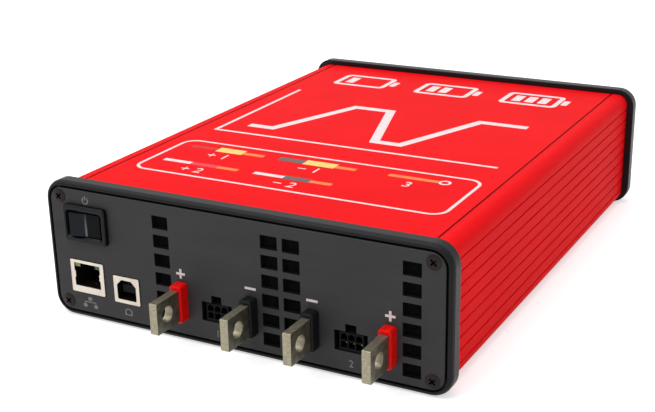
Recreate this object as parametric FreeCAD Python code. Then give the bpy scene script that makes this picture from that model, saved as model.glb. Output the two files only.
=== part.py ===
# Two-channel battery cycler in an extruded aluminium instrument case.
#
# X runs right as seen from the front, Y runs back and Z up, in millimetres.
# While a piece is drawn, y = 0 is the front panel's face and z = 0 the floor.
# save() then moves it so that the frame's origin is under the middle of the
# whole object: bottom centre of its bounding box.

import FreeCAD, Part
import math
import os
from FreeCAD import Vector

# How far a cutting shape runs past the face that it cuts
PAST = 1.0

# Case: an extruded tub closed by a sliding cover, with a moulded bezel and a
# flat panel at each end
BODY_WIDTH = 165.0
BODY_HEIGHT = 51.5
BODY_LENGTH = 220.0
BODY_WALL = 1.7
BODY_FLOOR = 1.8
BODY_TOP_RADIUS = 5.0
BODY_BOTTOM_RADIUS = 3.0
BODY_CAVITY_RADIUS = 1.0
GROOVE_COUNT = 9
GROOVE_PITCH = 5.0
GROOVE_TOP = 19.0
GROOVE_MOUTH = 0.9
GROOVE_ROOT = 0.4
GROOVE_DEPTH = 0.5

BOARD_THICKNESS = 1.6
CARD_SLOT_FIT = 0.2
CARD_SLOT = BOARD_THICKNESS + CARD_SLOT_FIT
CARD_SLOT_PITCH = 10.0
CARD_SLOT_COUNT = 4
CARD_SLOT_CLEAR = 8.0
CARD_RIB = 1.0
CARD_RIB_REACH = 2.2
CARD_RIB_ROOT = 0.1

COVER_THICKNESS = 2.05
COVER_SEAM_INSET = 7.75
COVER_HALF_SEAM = BODY_WIDTH / 2 - COVER_SEAM_INSET
COVER_SEAM_GAP = 0.2
COVER_TONGUE = 1.0
COVER_TONGUE_REACH = 1.5
COVER_TONGUE_FIT = 0.15
COVER_TONGUE_HEADROOM = 0.1
COVER_LEDGE = 1.15
COVER_LEDGE_REACH = 1.05

PANEL_EXTRA_WIDTH = 1.0
PANEL_LESS_HEIGHT = 0.5
PANEL_WIDTH = BODY_WIDTH + PANEL_EXTRA_WIDTH
PANEL_HEIGHT = BODY_HEIGHT - PANEL_LESS_HEIGHT
PANEL_THICKNESS = 2.0
PANEL_RADIUS = 5.5
PANEL_CHAMFER = 0.25
PANEL_CUT_FIT = 0.05

BEZEL_MARGIN = 2.7
BEZEL_DEPTH = 6.6
BEZEL_WEB = 2.1
BEZEL_LIP_GAP = 0.9
BEZEL_LIP_TOP = 0.2
BEZEL_LIP_WIDTH = 0.6
BEZEL_CROWN_DEPTH = 1.8
BEZEL_CROWN_BULGE = (0.35, 0.68)
BEZEL_STEP = 0.12
BEZEL_BACK_ROUND = 0.4
BEZEL_CORE = 1.5
BEZEL_FIT = 0.2
BEZEL_WEB_SIDE = 5.8
BEZEL_WEB_TOP = 2.3
BEZEL_OPEN_RADIUS = 2.0
BEZEL_LAND_RADIUS = 4.4

CORNER_SCREW_SIDE = 3.9
CORNER_SCREW_TOP = 3.75
CORNER_SCREW_X = BODY_WIDTH / 2 - CORNER_SCREW_SIDE
CORNER_SCREW_Z = BODY_HEIGHT / 2 - CORNER_SCREW_TOP
CORNER_BOSS_RADIUS = 3.0
CORNER_BOSS_SLOT = 1.2
CORNER_SCREW_RADIUS = 1.5
CORNER_SCREW_LENGTH = 14.0
CORNER_SCREW_TIP = 1.0
CORNER_HEAD_RADIUS = 2.85
CORNER_HEAD_HEIGHT = 1.5
CORNER_HEAD_RIM = 0.5
CORNER_HEAD_DOME = (1.7, 1.3)
CORNER_CROSS_REACH = 1.45
CORNER_CROSS_HALF = 0.36
CORNER_CROSS_TURN = 45.0
CORNER_CROSS_DEPTH = 1.05
SCREW_THREAD_FIT = 0.05
SCREW_HOLE_FIT = 0.4

OUTER_HEIGHT = PANEL_HEIGHT + 2 * BEZEL_MARGIN
OVERALL = BODY_LENGTH + 2 * (PANEL_THICKNESS + BEZEL_WEB)
MID = OUTER_HEIGHT / 2
BODY_FRONT = PANEL_THICKNESS + BEZEL_WEB
BODY_BACK = BODY_FRONT + BODY_LENGTH
BODY_BOTTOM = MID - BODY_HEIGHT / 2
BODY_TOP = MID + BODY_HEIGHT / 2
BACK_PANEL_INNER = OVERALL - PANEL_THICKNESS

# Main board, held in the lowest card slot
BOARD_LIFT = 6.2
BOARD_BOTTOM = BODY_BOTTOM + BOARD_LIFT
BOARD_TOP = BOARD_BOTTOM + BOARD_THICKNESS
BOARD_EDGE_GAP = 0.3
BOARD_CORNER = 1.0
BOARD_FRONT = BODY_FRONT + BOARD_EDGE_GAP

# Front panel layout: sockets are placed from the left side of the case, and the
# vents fill the rest. The two channels mirror each other about GROUP_X.
SWITCH_SIDE = 16.3
SWITCH_X = SWITCH_SIDE - BODY_WIDTH / 2
ETHERNET_SIDE = 14.5
ETHERNET_X = ETHERNET_SIDE - BODY_WIDTH / 2
USB_SIDE = 33.1
USB_X = USB_SIDE - BODY_WIDTH / 2
USB_WIDTH = 12.0
VENT_WIDTH = 7.0
VENT_HEIGHT = 5.2
VENT_CORNER = 0.3
VENT_ROWS = 6
VENT_PITCH = 7.6
VENT_DROP = 0.8
VENT_LOWEST = MID - VENT_DROP - (VENT_ROWS - 1) / 2 * VENT_PITCH
VENT_INNER_OFFSET = 4.5
VENT_USB_GAP = 11.6
VENT_SIDE = 11.7
VENT_LEFT = USB_X + USB_WIDTH / 2 + VENT_USB_GAP
VENT_RIGHT = BODY_WIDTH / 2 - VENT_SIDE
VENT_OUTER_OFFSET = (VENT_RIGHT - VENT_LEFT) / 2
BLADE_VENT_GAP = 8.2
GROUP_X = (VENT_LEFT + VENT_RIGHT) / 2
CHANNEL_OFFSET = (VENT_OUTER_OFFSET + VENT_INNER_OFFSET) / 2
BLADE_OFFSET = (VENT_OUTER_OFFSET - VENT_INNER_OFFSET) / 2 - BLADE_VENT_GAP

# Rear panel: mains inlet and two fans
FAN_SIZE = 40.0
FAN_SIDE = 8.5
FAN_GAP = 4.0
FAN_RIGHT_X = BODY_WIDTH / 2 - FAN_SIDE - FAN_SIZE / 2
FAN_X = (FAN_RIGHT_X - FAN_SIZE - FAN_GAP, FAN_RIGHT_X)
FAN_DEPTH = 20.0
FAN_CORNER = 3.0
FAN_WALL = 0.9
FAN_BORE = FAN_SIZE / 2 - FAN_WALL
FAN_HOLE_INSET = 4.0
FAN_EAR = 6.5
FAN_EAR_DEPTH = 3.5
FAN_SPOKE = 2.2
FAN_SEAT_DEPTH = 3.0
FAN_SCREW_RADIUS = 1.5
FAN_SCREW_LENGTH = 9.0
FAN_SCREW_HOLE_FIT = 0.2
FAN_HEAD_RADIUS = 2.8
FAN_HEAD_HEIGHT = 1.8
FAN_HEAD_ROUND = 0.8
FAN_HUB_RADIUS = 10.0
FAN_HUB_ROUND = 1.2
FAN_ROTOR_FRONT = 3.5
FAN_ROTOR_BACK = 1.2
FAN_TIP_GAP = 0.4
FAN_BLADES = 7
FAN_BLADE_THICKNESS = 1.2
FAN_BLADE_ANGLE = 40.0
FAN_BLADE_INSET = 0.6
FAN_SHAFT_RADIUS = 1.5
FAN_SHAFT_END = 1.0
FAN_SHAFT_FIT = 0.05
FAN_BEARING_FLOOR = 0.8
GRILLE_INNER = 7.0
GRILLE_PITCH = 4.5
GRILLE_RINGS = 3
GRILLE_SLOT = 2.8
GRILLE_BAR = 2.6
CROSS_REACH = 1.5
CROSS_HALF = 0.35
CROSS_DEPTH = 0.8

INLET_SIDE = 32.5
INLET_X = INLET_SIDE - BODY_WIDTH / 2
INLET_FLANGE_WIDTH = 50.0
INLET_FLANGE_HEIGHT = 22.5
INLET_FLANGE_THICKNESS = 3.0
INLET_FLANGE_FLAT = 13.0
INLET_FLANGE_ROUND = 2.5
INLET_EAR_HEIGHT = 9.0
INLET_OPEN_WIDTH = 24.2
INLET_OPEN_HEIGHT = 16.4
INLET_OPEN_DEPTH = 17.0
INLET_WALL = 1.4
INLET_BODY_DEPTH = 24.0
INLET_CORNER = 4.5
INLET_LOW_ROUND = 0.8
INLET_HIGH_ROUND = 0.4
INLET_CUT_FIT = 0.2
INLET_SCREW_PITCH = 40.0
INLET_SCREW_RADIUS = 1.5
INLET_SCREW_FIT = 0.2
INLET_HEAD_RADIUS = 3.0
INLET_HEAD_HEIGHT = 1.5
INLET_NUT_RADIUS = 3.2
INLET_NUT_HEIGHT = 2.4
INLET_SCREW_END = 4.0
INLET_PIN_PITCH = 14.0
INLET_PIN_WIDTH = 2.0
INLET_PIN_HEIGHT = 4.0
INLET_PIN_CORNER = 0.3
INLET_PIN_SHORT = 2.0
INLET_EARTH_RISE = 2.0
INLET_TAB = (0.8, 4.8)
INLET_TAB_LENGTH = 8.0

BOARD_FAN_GAP = 6.2
BOARD_BACK = BACK_PANEL_INNER - FAN_DEPTH - BOARD_FAN_GAP

# Terminal blades and their insulating bushes
BLADE_THICKNESS = 3.3
BLADE_HEIGHT = 12.3
BLADE_BOTTOM = BOARD_TOP
BLADE_TOP = BLADE_BOTTOM + BLADE_HEIGHT
BLADE_REACH = 18.6
BLADE_HOLE_RADIUS = 3.2
BLADE_HOLE_INSET = 6.4
BLADE_HOLE_RISE = 6.1
BLADE_HOLE_Y = BLADE_HOLE_INSET - BLADE_REACH
BLADE_HOLE_Z = BLADE_BOTTOM + BLADE_HOLE_RISE
BLADE_EDGE_ROUND = 0.4
BUSH_SIDE = 0.95
BUSH_END = 1.35
BUSH_RISE = 0.25
BUSH_WIDTH = BLADE_THICKNESS + 2 * BUSH_SIDE
BUSH_HEIGHT = BLADE_HEIGHT + 2 * BUSH_END
BUSH_MIDDLE = (BLADE_BOTTOM + BLADE_TOP) / 2 + BUSH_RISE
BUSH_REACH = 4.8
BUSH_ROUND = 1.2
BUSH_FACE_ROUND = 0.8
BUSH_NECK_INSET = 0.4
BUSH_SLOT_FIT = 0.05
BUSH_CLIP = 1.5
BUSH_BARB = 0.3
BUSH_BARB_TAPER = 0.1

# Six-way headers
HEADER_PITCH = 3.0
HEADER_CELL = 2.5
HEADER_WALL = 0.6
HEADER_FLOOR = 0.85
HEADER_ROOF = 0.7
HEADER_RISE = 3.95
HEADER_CENTRE_Z = BOARD_TOP + HEADER_RISE
HEADER_WIDTH = 2 * HEADER_PITCH + HEADER_CELL + 2 * HEADER_WALL
HEADER_BOTTOM = HEADER_CENTRE_Z - (HEADER_PITCH + HEADER_CELL) / 2 - HEADER_FLOOR
HEADER_TOP = HEADER_CENTRE_Z + (HEADER_PITCH + HEADER_CELL) / 2 + HEADER_ROOF
HEADER_CORNER = 0.3
HEADER_FACE = 0.5
HEADER_DEPTH = 10.0
HEADER_BACK = HEADER_FACE + HEADER_DEPTH
HEADER_POCKET = 7.5
HEADER_KEY = 0.7
HEADER_CUT_SIDE = 1.75
HEADER_CUT_BELOW = 0.25
HEADER_CUT_ABOVE = 0.5
HEADER_NOTCH_WIDTH = 4.4
HEADER_NOTCH_HEIGHT = 2.9
HEADER_RAMP_HALF = 1.7
HEADER_RAMP_HEIGHT = 1.5
HEADER_RAMP_START = 0.4
HEADER_RAMP_CREST = 3.5
HEADER_RAMP_END = 4.5
HEADER_FOOT_X = 3.5
HEADER_FOOT_WIDTH = 1.8
HEADER_FOOT_LENGTH = 4.0
HEADER_PIN = 0.64
HEADER_PIN_FRONT = 2.2
HEADER_TAILS = (1.2, 3.2)

# Clamps that hold the blades' rear ends, behind the headers
CLAMP_BASE = 2.5
CLAMP_CHEEK = 2.4
CLAMP_HEADER_GAP = 4.5
CLAMP_LENGTH = 9.0
CLAMP_FRONT = HEADER_BACK + CLAMP_HEADER_GAP
BLADE_BACK = CLAMP_FRONT + CLAMP_LENGTH
CLAMP_STEP_GAP = 1.0
CLAMP_HALF = BLADE_THICKNESS / 2 + CLAMP_CHEEK
CLAMP_LIFT = BLADE_BOTTOM + CLAMP_BASE
CLAMP_SCREW_RADIUS = 2.0
CLAMP_SCREW_FIT = 0.1
CLAMP_SCREW_Y = (CLAMP_FRONT + BLADE_BACK) / 2
CLAMP_SCREW_Z = (CLAMP_LIFT + BLADE_TOP) / 2
CLAMP_SCREW_END = 4.0
CLAMP_HEAD_RADIUS = 3.5
CLAMP_HEAD_HEIGHT = 2.4
CLAMP_NUT_RADIUS = 4.0
CLAMP_NUT_HEIGHT = 3.2

# Rocker switch
SWITCH_RISE = 12.2
SWITCH_Z = MID + SWITCH_RISE
SWITCH_END_WALL = 1.4
SWITCH_SIDE_WALL = 1.6
SWITCH_FLANGE_END = 0.8
SWITCH_FLANGE_SIDE = 1.1
SWITCH_FLANGE_REACH = 2.1
SWITCH_FLANGE_CORNER = 1.6
SWITCH_FLANGE_ROUND = 0.7
SWITCH_BODY_DEPTH = 18.0
SWITCH_BODY_CORNER = 0.6
SWITCH_WELL_DEPTH = 6.0
SWITCH_WELL_CORNER = 0.8
SWITCH_FUNNEL = 0.8
FUNNEL_OVERLAP = 0.01
SWITCH_FUNNEL_DEPTH = 1.2
SWITCH_TAB_OFFSET = 4.0
SWITCH_TAB_THICKNESS = 0.8
SWITCH_TAB_WIDTH = 4.8
SWITCH_TAB_LENGTH = 8.0
ROCKER_PIVOT_Y = 1.5
ROCKER_HALF_LENGTH = 6.5
ROCKER_HALF_HEIGHT = 4.6
ROCKER_VALLEY = 2.7
ROCKER_VALLEY_RADIUS = 4.0
ROCKER_ANGLE = 9.0
ROCKER_TIP = ROCKER_VALLEY + ROCKER_HALF_LENGTH * math.tan(math.radians(ROCKER_ANGLE))
ROCKER_RADIUS = math.hypot(ROCKER_HALF_LENGTH, ROCKER_TIP)
ROCKER_SKIRT = 1.2
ROCKER_KEEL = 2.2
ROCKER_KEEL_HALF = 5.0
ROCKER_GAP = 0.3
ROCKER_PIN_RADIUS = 1.0
ROCKER_PIN_REACH = 1.0
ROCKER_PIN_FIT = 0.05
ROCKER_PIN_END = 0.1
SWITCH_WELL_HALF = ROCKER_RADIUS + ROCKER_GAP
SWITCH_WELL_TALL = ROCKER_HALF_HEIGHT + ROCKER_GAP
SWITCH_BODY_WIDTH = 2 * (SWITCH_WELL_HALF + SWITCH_END_WALL)
SWITCH_BODY_HEIGHT = 2 * (SWITCH_WELL_TALL + SWITCH_SIDE_WALL)

# Network and USB sockets
SOCKET_REACH = 0.4
SOCKET_SHEET = 0.4
SOCKET_CORNER = 0.5
SOCKET_INNER_CORNER = 0.3
SOCKET_CUT_FIT = 0.2
SOCKET_BACK_GAP = 0.5
ETHERNET_WIDTH = 15.9
ETHERNET_HEIGHT = 13.55
ETHERNET_LIFT = 0.85
ETHERNET_SILL = 2.65
ETHERNET_LINTEL = 1.2
ETHERNET_BOTTOM = BOARD_TOP + ETHERNET_LIFT
ETHERNET_TOP = ETHERNET_BOTTOM + ETHERNET_HEIGHT
ETHERNET_DEPTH = 21.0
ETHERNET_OPEN_WIDTH = 12.4
ETHERNET_OPEN_BOTTOM = ETHERNET_BOTTOM + ETHERNET_SILL
ETHERNET_OPEN_TOP = ETHERNET_TOP - ETHERNET_LINTEL
ETHERNET_SPRING_HEIGHT = 3.2
ETHERNET_SPRING_STAND = 0.4
ETHERNET_LATCH_WIDTH = 6.4
ETHERNET_LATCH_HEIGHT = 1.7
ETHERNET_CAVITY_DEPTH = 14.0
ETHERNET_LIGHT_GAP = 0.3
ETHERNET_LIGHT_FACE = 0.2
ETHERNET_LIGHT_DEPTH = 6.0
ETHERNET_FOOT = 2.0
ETHERNET_FOOT_X = 5.0
ETHERNET_FOOT_Y = (6.0, 16.0)
ETHERNET_WIRE = 0.46
ETHERNET_WIRE_PITCH = 1.02
ETHERNET_WIRE_COUNT = 8
ETHERNET_WIRE_START = 4.0
ETHERNET_WIRE_FOOT = 0.8
ETHERNET_WIRE_CREST = 13.0
ETHERNET_WIRE_RISE = 2.0
ETHERNET_WIRE_THICKNESS = 0.4
USB_BOTTOM = BOARD_TOP
USB_HEIGHT = 11.1
USB_TOP = USB_BOTTOM + USB_HEIGHT
USB_DEPTH = 16.0
USB_OPEN_WIDTH = 8.9
USB_OPEN_HEIGHT = 8.2
USB_OPEN_DEPTH = 11.0
USB_CORNER = 2.2
USB_ROUND = 0.7
USB_TONGUE_WIDTH = 5.6
USB_TONGUE_HEIGHT = 3.2
USB_TONGUE_FRONT = 1.2
USB_TONGUE_RISE = 0.3
USB_TONGUE_Z = (USB_BOTTOM + USB_TOP) / 2 + USB_TONGUE_RISE
USB_STRIP_WIDTH = 1.0
USB_STRIP_THICKNESS = 0.25
USB_STRIP_OFFSET = 1.25
USB_STRIP_FRONT = 2.5

# Inside: heat sinks with the power stage, filters and an open-frame supply
SINK_FRONT = 72.0
SINK_BOARD_GAP = 32.0
SINK_BACK = BOARD_BACK - SINK_BOARD_GAP
SINK_SPACING = 9.4
SINK_HALF_WIDTH = CHANNEL_OFFSET - SINK_SPACING
SINK_LIFT = 10.4
SINK_BASE_BOTTOM = BOARD_TOP + SINK_LIFT
SINK_BASE = 4.0
SINK_BASE_TOP = SINK_BASE_BOTTOM + SINK_BASE
SINK_FIN_HEIGHT = 22.0
SINK_FIN_COUNT = 8
SINK_FIN = 1.4
SINK_LEG = 2.0
TRANSISTOR_COUNT = 4
TRANSISTOR_FRONT_GAP = 14.0
TRANSISTOR_PITCH = 23.0
TRANSISTOR_WIDTH = 15.6
TRANSISTOR_LENGTH = 21.0
TRANSISTOR_THICKNESS = 5.0
TRANSISTOR_HOLE_Y = 5.0
TRANSISTOR_HOLE_RADIUS = 1.8
TRANSISTOR_LEG_PITCH = 5.4
TRANSISTOR_LEG = (1.2, 0.6)
TRANSISTOR_LEG_REACH = 3.1
TRANSISTOR_SCREW = (1.5, 3.0, 2.0)
INDUCTOR_GAP = 16.0
INDUCTOR_RADIUS = 12.5
INDUCTOR_BORE = 7.0
INDUCTOR_HEIGHT = 11.0
INDUCTOR_WIRE = 1.0
FILTER_COUNT = 3
FILTER_RADIUS = 5.0
FILTER_PITCH = 11.0
FILTER_HEIGHT = 13.0
FILTER_GAP = 10.0
CAN_ROUND = 0.6
RELAY_SIZE = (16.0, 20.0, 12.0)
RELAY_Y = 42.0
RELAY_CORNER = 0.8
PROCESSOR_SIDE = 20.5
PROCESSOR_Y = 38.0
PROCESSOR_SIZE = (14.0, 1.4)
NETWORK_CHIP_SIDE = 38.5
NETWORK_CHIP_Y = 34.0
NETWORK_CHIP_SIZE = (9.0, 1.0)
CONTROLLER_X = 16.0
CONTROLLER_Y = 46.0
CONTROLLER_SIZE = (7.0, 1.0)
CHIP_CORNER = 0.3

SUPPLY_WIDTH = 48.0
SUPPLY_SIDE = 5.0
SUPPLY_X = SUPPLY_SIDE + SUPPLY_WIDTH / 2 - BODY_WIDTH / 2
SUPPLY_FRONT = 56.0
SUPPLY_BOARD_GAP = 17.0
SUPPLY_BACK = BOARD_BACK - SUPPLY_BOARD_GAP
SUPPLY_LIFT = 5.0
SUPPLY_BOTTOM = BOARD_TOP + SUPPLY_LIFT
SUPPLY_TOP = SUPPLY_BOTTOM + BOARD_THICKNESS
SUPPLY_MIDDLE = (SUPPLY_FRONT + SUPPLY_BACK) / 2
SUPPLY_HOLE_INSET = 4.0
STANDOFF_RADIUS = 3.0
STANDOFF_FLOOR = 1.0
SUPPLY_SCREW_RADIUS = 1.5
SUPPLY_SCREW_GRIP = 3.5
SUPPLY_HEAD_RADIUS = 2.8
SUPPLY_HEAD_HEIGHT = 1.8
SUPPLY_HOLE_FIT = 0.2
TRANSFORMER_CORE = (14.0, 30.0, 26.0)
TRANSFORMER_WINDOW = (20.0, 18.0)
TRANSFORMER_COIL = 9.9
TRANSFORMER_COIL_GAP = 0.05
BULK_CAN = (10.0, 28.0, 11.5, 24.0)
OUTPUT_CAN = (5.0, 20.0, 7.0, 25.0)
SPREADER_INSET = 1.0
SPREADER_THICKNESS = 1.5
SPREADER_FLANGE = 8.0
SPREADER_HEIGHT = 24.0
SPREADER_LENGTH = 48.0

REAR_REACH = INLET_FLANGE_THICKNESS
FRAME_FRONT = (BLADE_REACH - OVERALL - REAR_REACH) / 2


# Drawing helpers

def upright(y):
    """Places drawing points (x, z) in the plane at depth y."""
    return lambda a, b: Vector(a, y, b)


def level(z):
    """Places drawing points (x, y) in the plane at height z."""
    return lambda a, b: Vector(a, b, z)


def sideways(x):
    """Places drawing points (y, z) in the plane at x."""
    return lambda a, b: Vector(x, a, b)


def corner_arc(before, corner, after, radius):
    """Start, middle and end of the arc that rounds one corner of a polygon."""
    to_before = Vector(before[0] - corner[0], before[1] - corner[1], 0).normalize()
    to_after = Vector(after[0] - corner[0], after[1] - corner[1], 0).normalize()
    half = to_before.getAngle(to_after) / 2
    centre_way = (to_before + to_after).normalize()
    here = Vector(corner[0], corner[1], 0)
    start = here + to_before * (radius / math.tan(half))
    middle = here + centre_way * (radius / math.sin(half) - radius)
    end = here + to_after * (radius / math.tan(half))
    return start, middle, end


def rounded(corners, place):
    """Closed wire through (a, b, radius) corners, put in space by place."""
    spans = []
    for i, corner in enumerate(corners):
        here = Vector(corner[0], corner[1], 0)
        if corner[2] > 0:
            after = corners[(i + 1) % len(corners)]
            spans.append(corner_arc(corners[i - 1], corner, after, corner[2]))
        else:
            spans.append((here, None, here))
    edges = []
    for i, (start, middle, end) in enumerate(spans):
        if middle is not None:
            points = [place(p.x, p.y) for p in (start, middle, end)]
            edges.append(Part.Arc(*points).toShape())
        following = spans[(i + 1) % len(spans)][0]
        if end.distanceToPoint(following) > 1e-6:
            edges.append(Part.makeLine(place(end.x, end.y), place(following.x, following.y)))
    return Part.Wire(edges)


def rect(width, height, radius=0.0, x=0.0, z=0.0):
    """Corners of a centred rectangle for rounded()."""
    a, b = width / 2, height / 2
    return [(x - a, z - b, radius), (x + a, z - b, radius),
            (x + a, z + b, radius), (x - a, z + b, radius)]


def sharp(points):
    """Corners for rounded() from plain points."""
    return [(a, b, 0.0) for a, b in points]


def face(corners, place):
    return Part.Face(rounded(corners, place))


def slab(corners, y0, y1):
    """Solid with an (x, z) outline, from depth y0 to y1."""
    return face(corners, upright(y0)).extrude(Vector(0, y1 - y0, 0))


def plate(corners, z0, z1):
    """Solid with an (x, y) outline, from height z0 to z1."""
    return face(corners, level(z0)).extrude(Vector(0, 0, z1 - z0))


def cheek(corners, x0, x1):
    """Solid with a (y, z) outline, from x0 to x1."""
    return face(corners, sideways(x0)).extrude(Vector(x1 - x0, 0, 0))


def block(x0, x1, y0, y1, z0, z1):
    return Part.makeBox(x1 - x0, y1 - y0, z1 - z0, Vector(x0, y0, z0))


def rod(radius, y0, y1, x, z):
    """Cylinder along Y."""
    return Part.makeCylinder(radius, y1 - y0, Vector(x, y0, z), Vector(0, 1, 0))


def post(radius, z0, z1, x, y):
    """Cylinder along Z."""
    return Part.makeCylinder(radius, z1 - z0, Vector(x, y, z0))


def fuse(shapes):
    joined = shapes[0]
    if len(shapes) > 1:
        joined = joined.fuse(shapes[1:])
    return joined.removeSplitter()


def group(shapes):
    return Part.makeCompound(shapes)


def moved(shape, x=0.0, y=0.0, z=0.0):
    copy = shape.copy()
    copy.translate(Vector(x, y, z))
    return copy


def turned_round(shape):
    """The same piece at the other end of the case."""
    return shape.mirror(Vector(0, OVERALL / 2, 0), Vector(0, 1, 0))


def edges_at(shape, axis, value):
    """Edges that lie wholly in the plane where the axis has the value."""
    picked = []
    for edge in shape.Edges:
        box = edge.BoundBox
        low = {"x": box.XMin, "y": box.YMin, "z": box.ZMin}[axis]
        high = {"x": box.XMax, "y": box.YMax, "z": box.ZMax}[axis]
        if abs(low - value) < 1e-4 and abs(high - value) < 1e-4:
            picked.append(edge)
    return picked


def four_corners(x, z):
    return [(side * x, MID + up * z) for side in (-1, 1) for up in (-1, 1)]


def save(name, shape):
    placed = moved(shape, y=FRAME_FRONT)
    placed.exportStep("parts/" + name + ".step")


# Case

def body_outline(grow=0.0):
    """Outside of the extruded body, with its wider rounding at the top."""
    a = BODY_WIDTH / 2 + grow
    low = BODY_BOTTOM - grow
    high = BODY_TOP + grow
    bottom = BODY_BOTTOM_RADIUS + grow
    top = BODY_TOP_RADIUS + grow
    return [(-a, low, bottom), (a, low, bottom), (a, high, top), (-a, high, top)]


def run(corners):
    """Drawn outline carried through the body's whole length."""
    return slab(corners, BODY_FRONT, BODY_BACK)


def side_grooves():
    """Shallow tapered grooves that run the length of both sides."""
    grooves = []
    half = BODY_WIDTH / 2
    for row in range(GROOVE_COUNT):
        z = MID + GROOVE_TOP - row * GROOVE_PITCH
        for side in (-1, 1):
            grooves.append(run(sharp([
                (side * half, z - GROOVE_MOUTH / 2),
                (side * (half - GROOVE_DEPTH), z - GROOVE_ROOT / 2),
                (side * (half - GROOVE_DEPTH), z + GROOVE_ROOT / 2),
                (side * half, z + GROOVE_MOUTH / 2)])))
    return grooves


def cover_opening(seat, ledge):
    """Section of the way that the cover slides in: a slot, and tongues below it."""
    mouth = COVER_HALF_SEAM + COVER_SEAM_GAP
    tongue = COVER_HALF_SEAM + COVER_TONGUE_REACH + COVER_TONGUE_FIT
    edge = COVER_HALF_SEAM - COVER_LEDGE_REACH
    tongue_top = seat + COVER_TONGUE + COVER_TONGUE_HEADROOM
    return sharp([
        (-edge, ledge - PAST), (edge, ledge - PAST), (edge, seat), (tongue, seat),
        (tongue, tongue_top), (mouth, tongue_top), (mouth, BODY_TOP + PAST),
        (-mouth, BODY_TOP + PAST), (-mouth, tongue_top), (-tongue, tongue_top),
        (-tongue, seat), (-edge, seat)])


def card_ribs(side, inner):
    """Pairs of ribs on one wall that hold the edge of a board."""
    reach = CARD_RIB_REACH + CARD_RIB_ROOT
    middle = side * (inner - (CARD_RIB_REACH - CARD_RIB_ROOT) / 2)
    ribs = []
    for row in range(CARD_SLOT_COUNT):
        low = BOARD_BOTTOM + row * CARD_SLOT_PITCH
        for z in (low - CARD_RIB / 2, low + CARD_SLOT + CARD_RIB / 2):
            ribs.append(run(rect(reach, CARD_RIB, 0, middle, z)))
    return ribs


def body_extrusion():
    """One drawn section: walls, cover ledges, card slots and screw bosses."""
    inner = BODY_WIDTH / 2 - BODY_WALL
    floor = BODY_BOTTOM + BODY_FLOOR
    seat = BODY_TOP - COVER_THICKNESS
    ledge = seat - COVER_LEDGE
    cavity = run(rect(2 * inner, ledge - floor, BODY_CAVITY_RADIUS, 0, (ledge + floor) / 2))
    opening = run(cover_opening(seat, ledge))
    shell = run(body_outline()).cut([cavity, opening] + side_grooves())

    added = []
    removed = []
    slit = CORNER_BOSS_RADIUS + PAST
    for x, z in four_corners(CORNER_SCREW_X, CORNER_SCREW_Z):
        added.append(rod(CORNER_BOSS_RADIUS, BODY_FRONT, BODY_BACK, x, z))
        removed.append(rod(CORNER_SCREW_RADIUS + SCREW_THREAD_FIT, BODY_FRONT, BODY_BACK, x, z))
        removed.append(run(rect(slit, CORNER_BOSS_SLOT, 0, x - math.copysign(slit / 2, x), z)))
    for side in (-1, 1):
        added += card_ribs(side, inner)
        removed.append(run(rect(CARD_SLOT_CLEAR, CARD_SLOT, 0, side * (inner - CARD_SLOT_CLEAR / 2),
                                BOARD_BOTTOM + CARD_SLOT / 2)))
    return shell.fuse(added).cut(removed).removeSplitter()


def top_cover():
    """Flat sliding cover with a thin tongue along both edges."""
    seat = BODY_TOP - COVER_THICKNESS
    shoulder = seat + COVER_TONGUE
    edge = COVER_HALF_SEAM - COVER_SEAM_GAP
    tongue = COVER_HALF_SEAM + COVER_TONGUE_REACH
    return run(sharp([
        (-tongue, seat), (tongue, seat), (tongue, shoulder), (edge, shoulder),
        (edge, BODY_TOP), (-edge, BODY_TOP), (-edge, shoulder), (-tongue, shoulder)]))


def bezel_section():
    """Cross-section of the bezel's rim, outward from the panel's top edge."""
    edge = MID + PANEL_HEIGHT / 2
    at = lambda y, out: Vector(0, y, edge + out)
    crown_start = BEZEL_LIP_GAP + BEZEL_LIP_WIDTH
    crown_end = BEZEL_MARGIN - BEZEL_STEP
    along, up = BEZEL_CROWN_BULGE
    crown = Part.Arc(at(BEZEL_LIP_TOP, crown_start),
                     at(BEZEL_LIP_TOP + along * (BEZEL_CROWN_DEPTH - BEZEL_LIP_TOP),
                        crown_start + up * (crown_end - crown_start)),
                     at(BEZEL_CROWN_DEPTH, crown_end)).toShape()
    turn = BEZEL_BACK_ROUND
    inset = turn * (1 - math.sqrt(0.5))
    back = Part.Arc(at(BEZEL_DEPTH - turn, BEZEL_MARGIN),
                    at(BEZEL_DEPTH - inset, BEZEL_MARGIN - inset),
                    at(BEZEL_DEPTH, BEZEL_MARGIN - turn)).toShape()
    path = [(BEZEL_DEPTH, BEZEL_MARGIN - turn), (BEZEL_DEPTH, -BEZEL_CORE),
            (PANEL_THICKNESS, -BEZEL_CORE), (PANEL_THICKNESS, BEZEL_LIP_GAP),
            (BEZEL_LIP_TOP, BEZEL_LIP_GAP), (BEZEL_LIP_TOP, crown_start)]
    inside = Part.makePolygon([at(y, out) for y, out in path])
    step = Part.makePolygon([at(BEZEL_CROWN_DEPTH, crown_end),
                             at(BEZEL_CROWN_DEPTH + BEZEL_STEP, BEZEL_MARGIN),
                             at(BEZEL_DEPTH - turn, BEZEL_MARGIN)])
    return Part.Wire([crown] + step.Edges + [back] + inside.Edges)


def panel_outline(y):
    """The panel's edge as a closed path that starts at the top centre."""
    corners = rect(PANEL_WIDTH, PANEL_HEIGHT, PANEL_RADIUS, 0, MID)
    top = (0.0, MID + PANEL_HEIGHT / 2, 0.0)
    return rounded([top, corners[3], corners[0], corners[1], corners[2]], upright(y))


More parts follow.
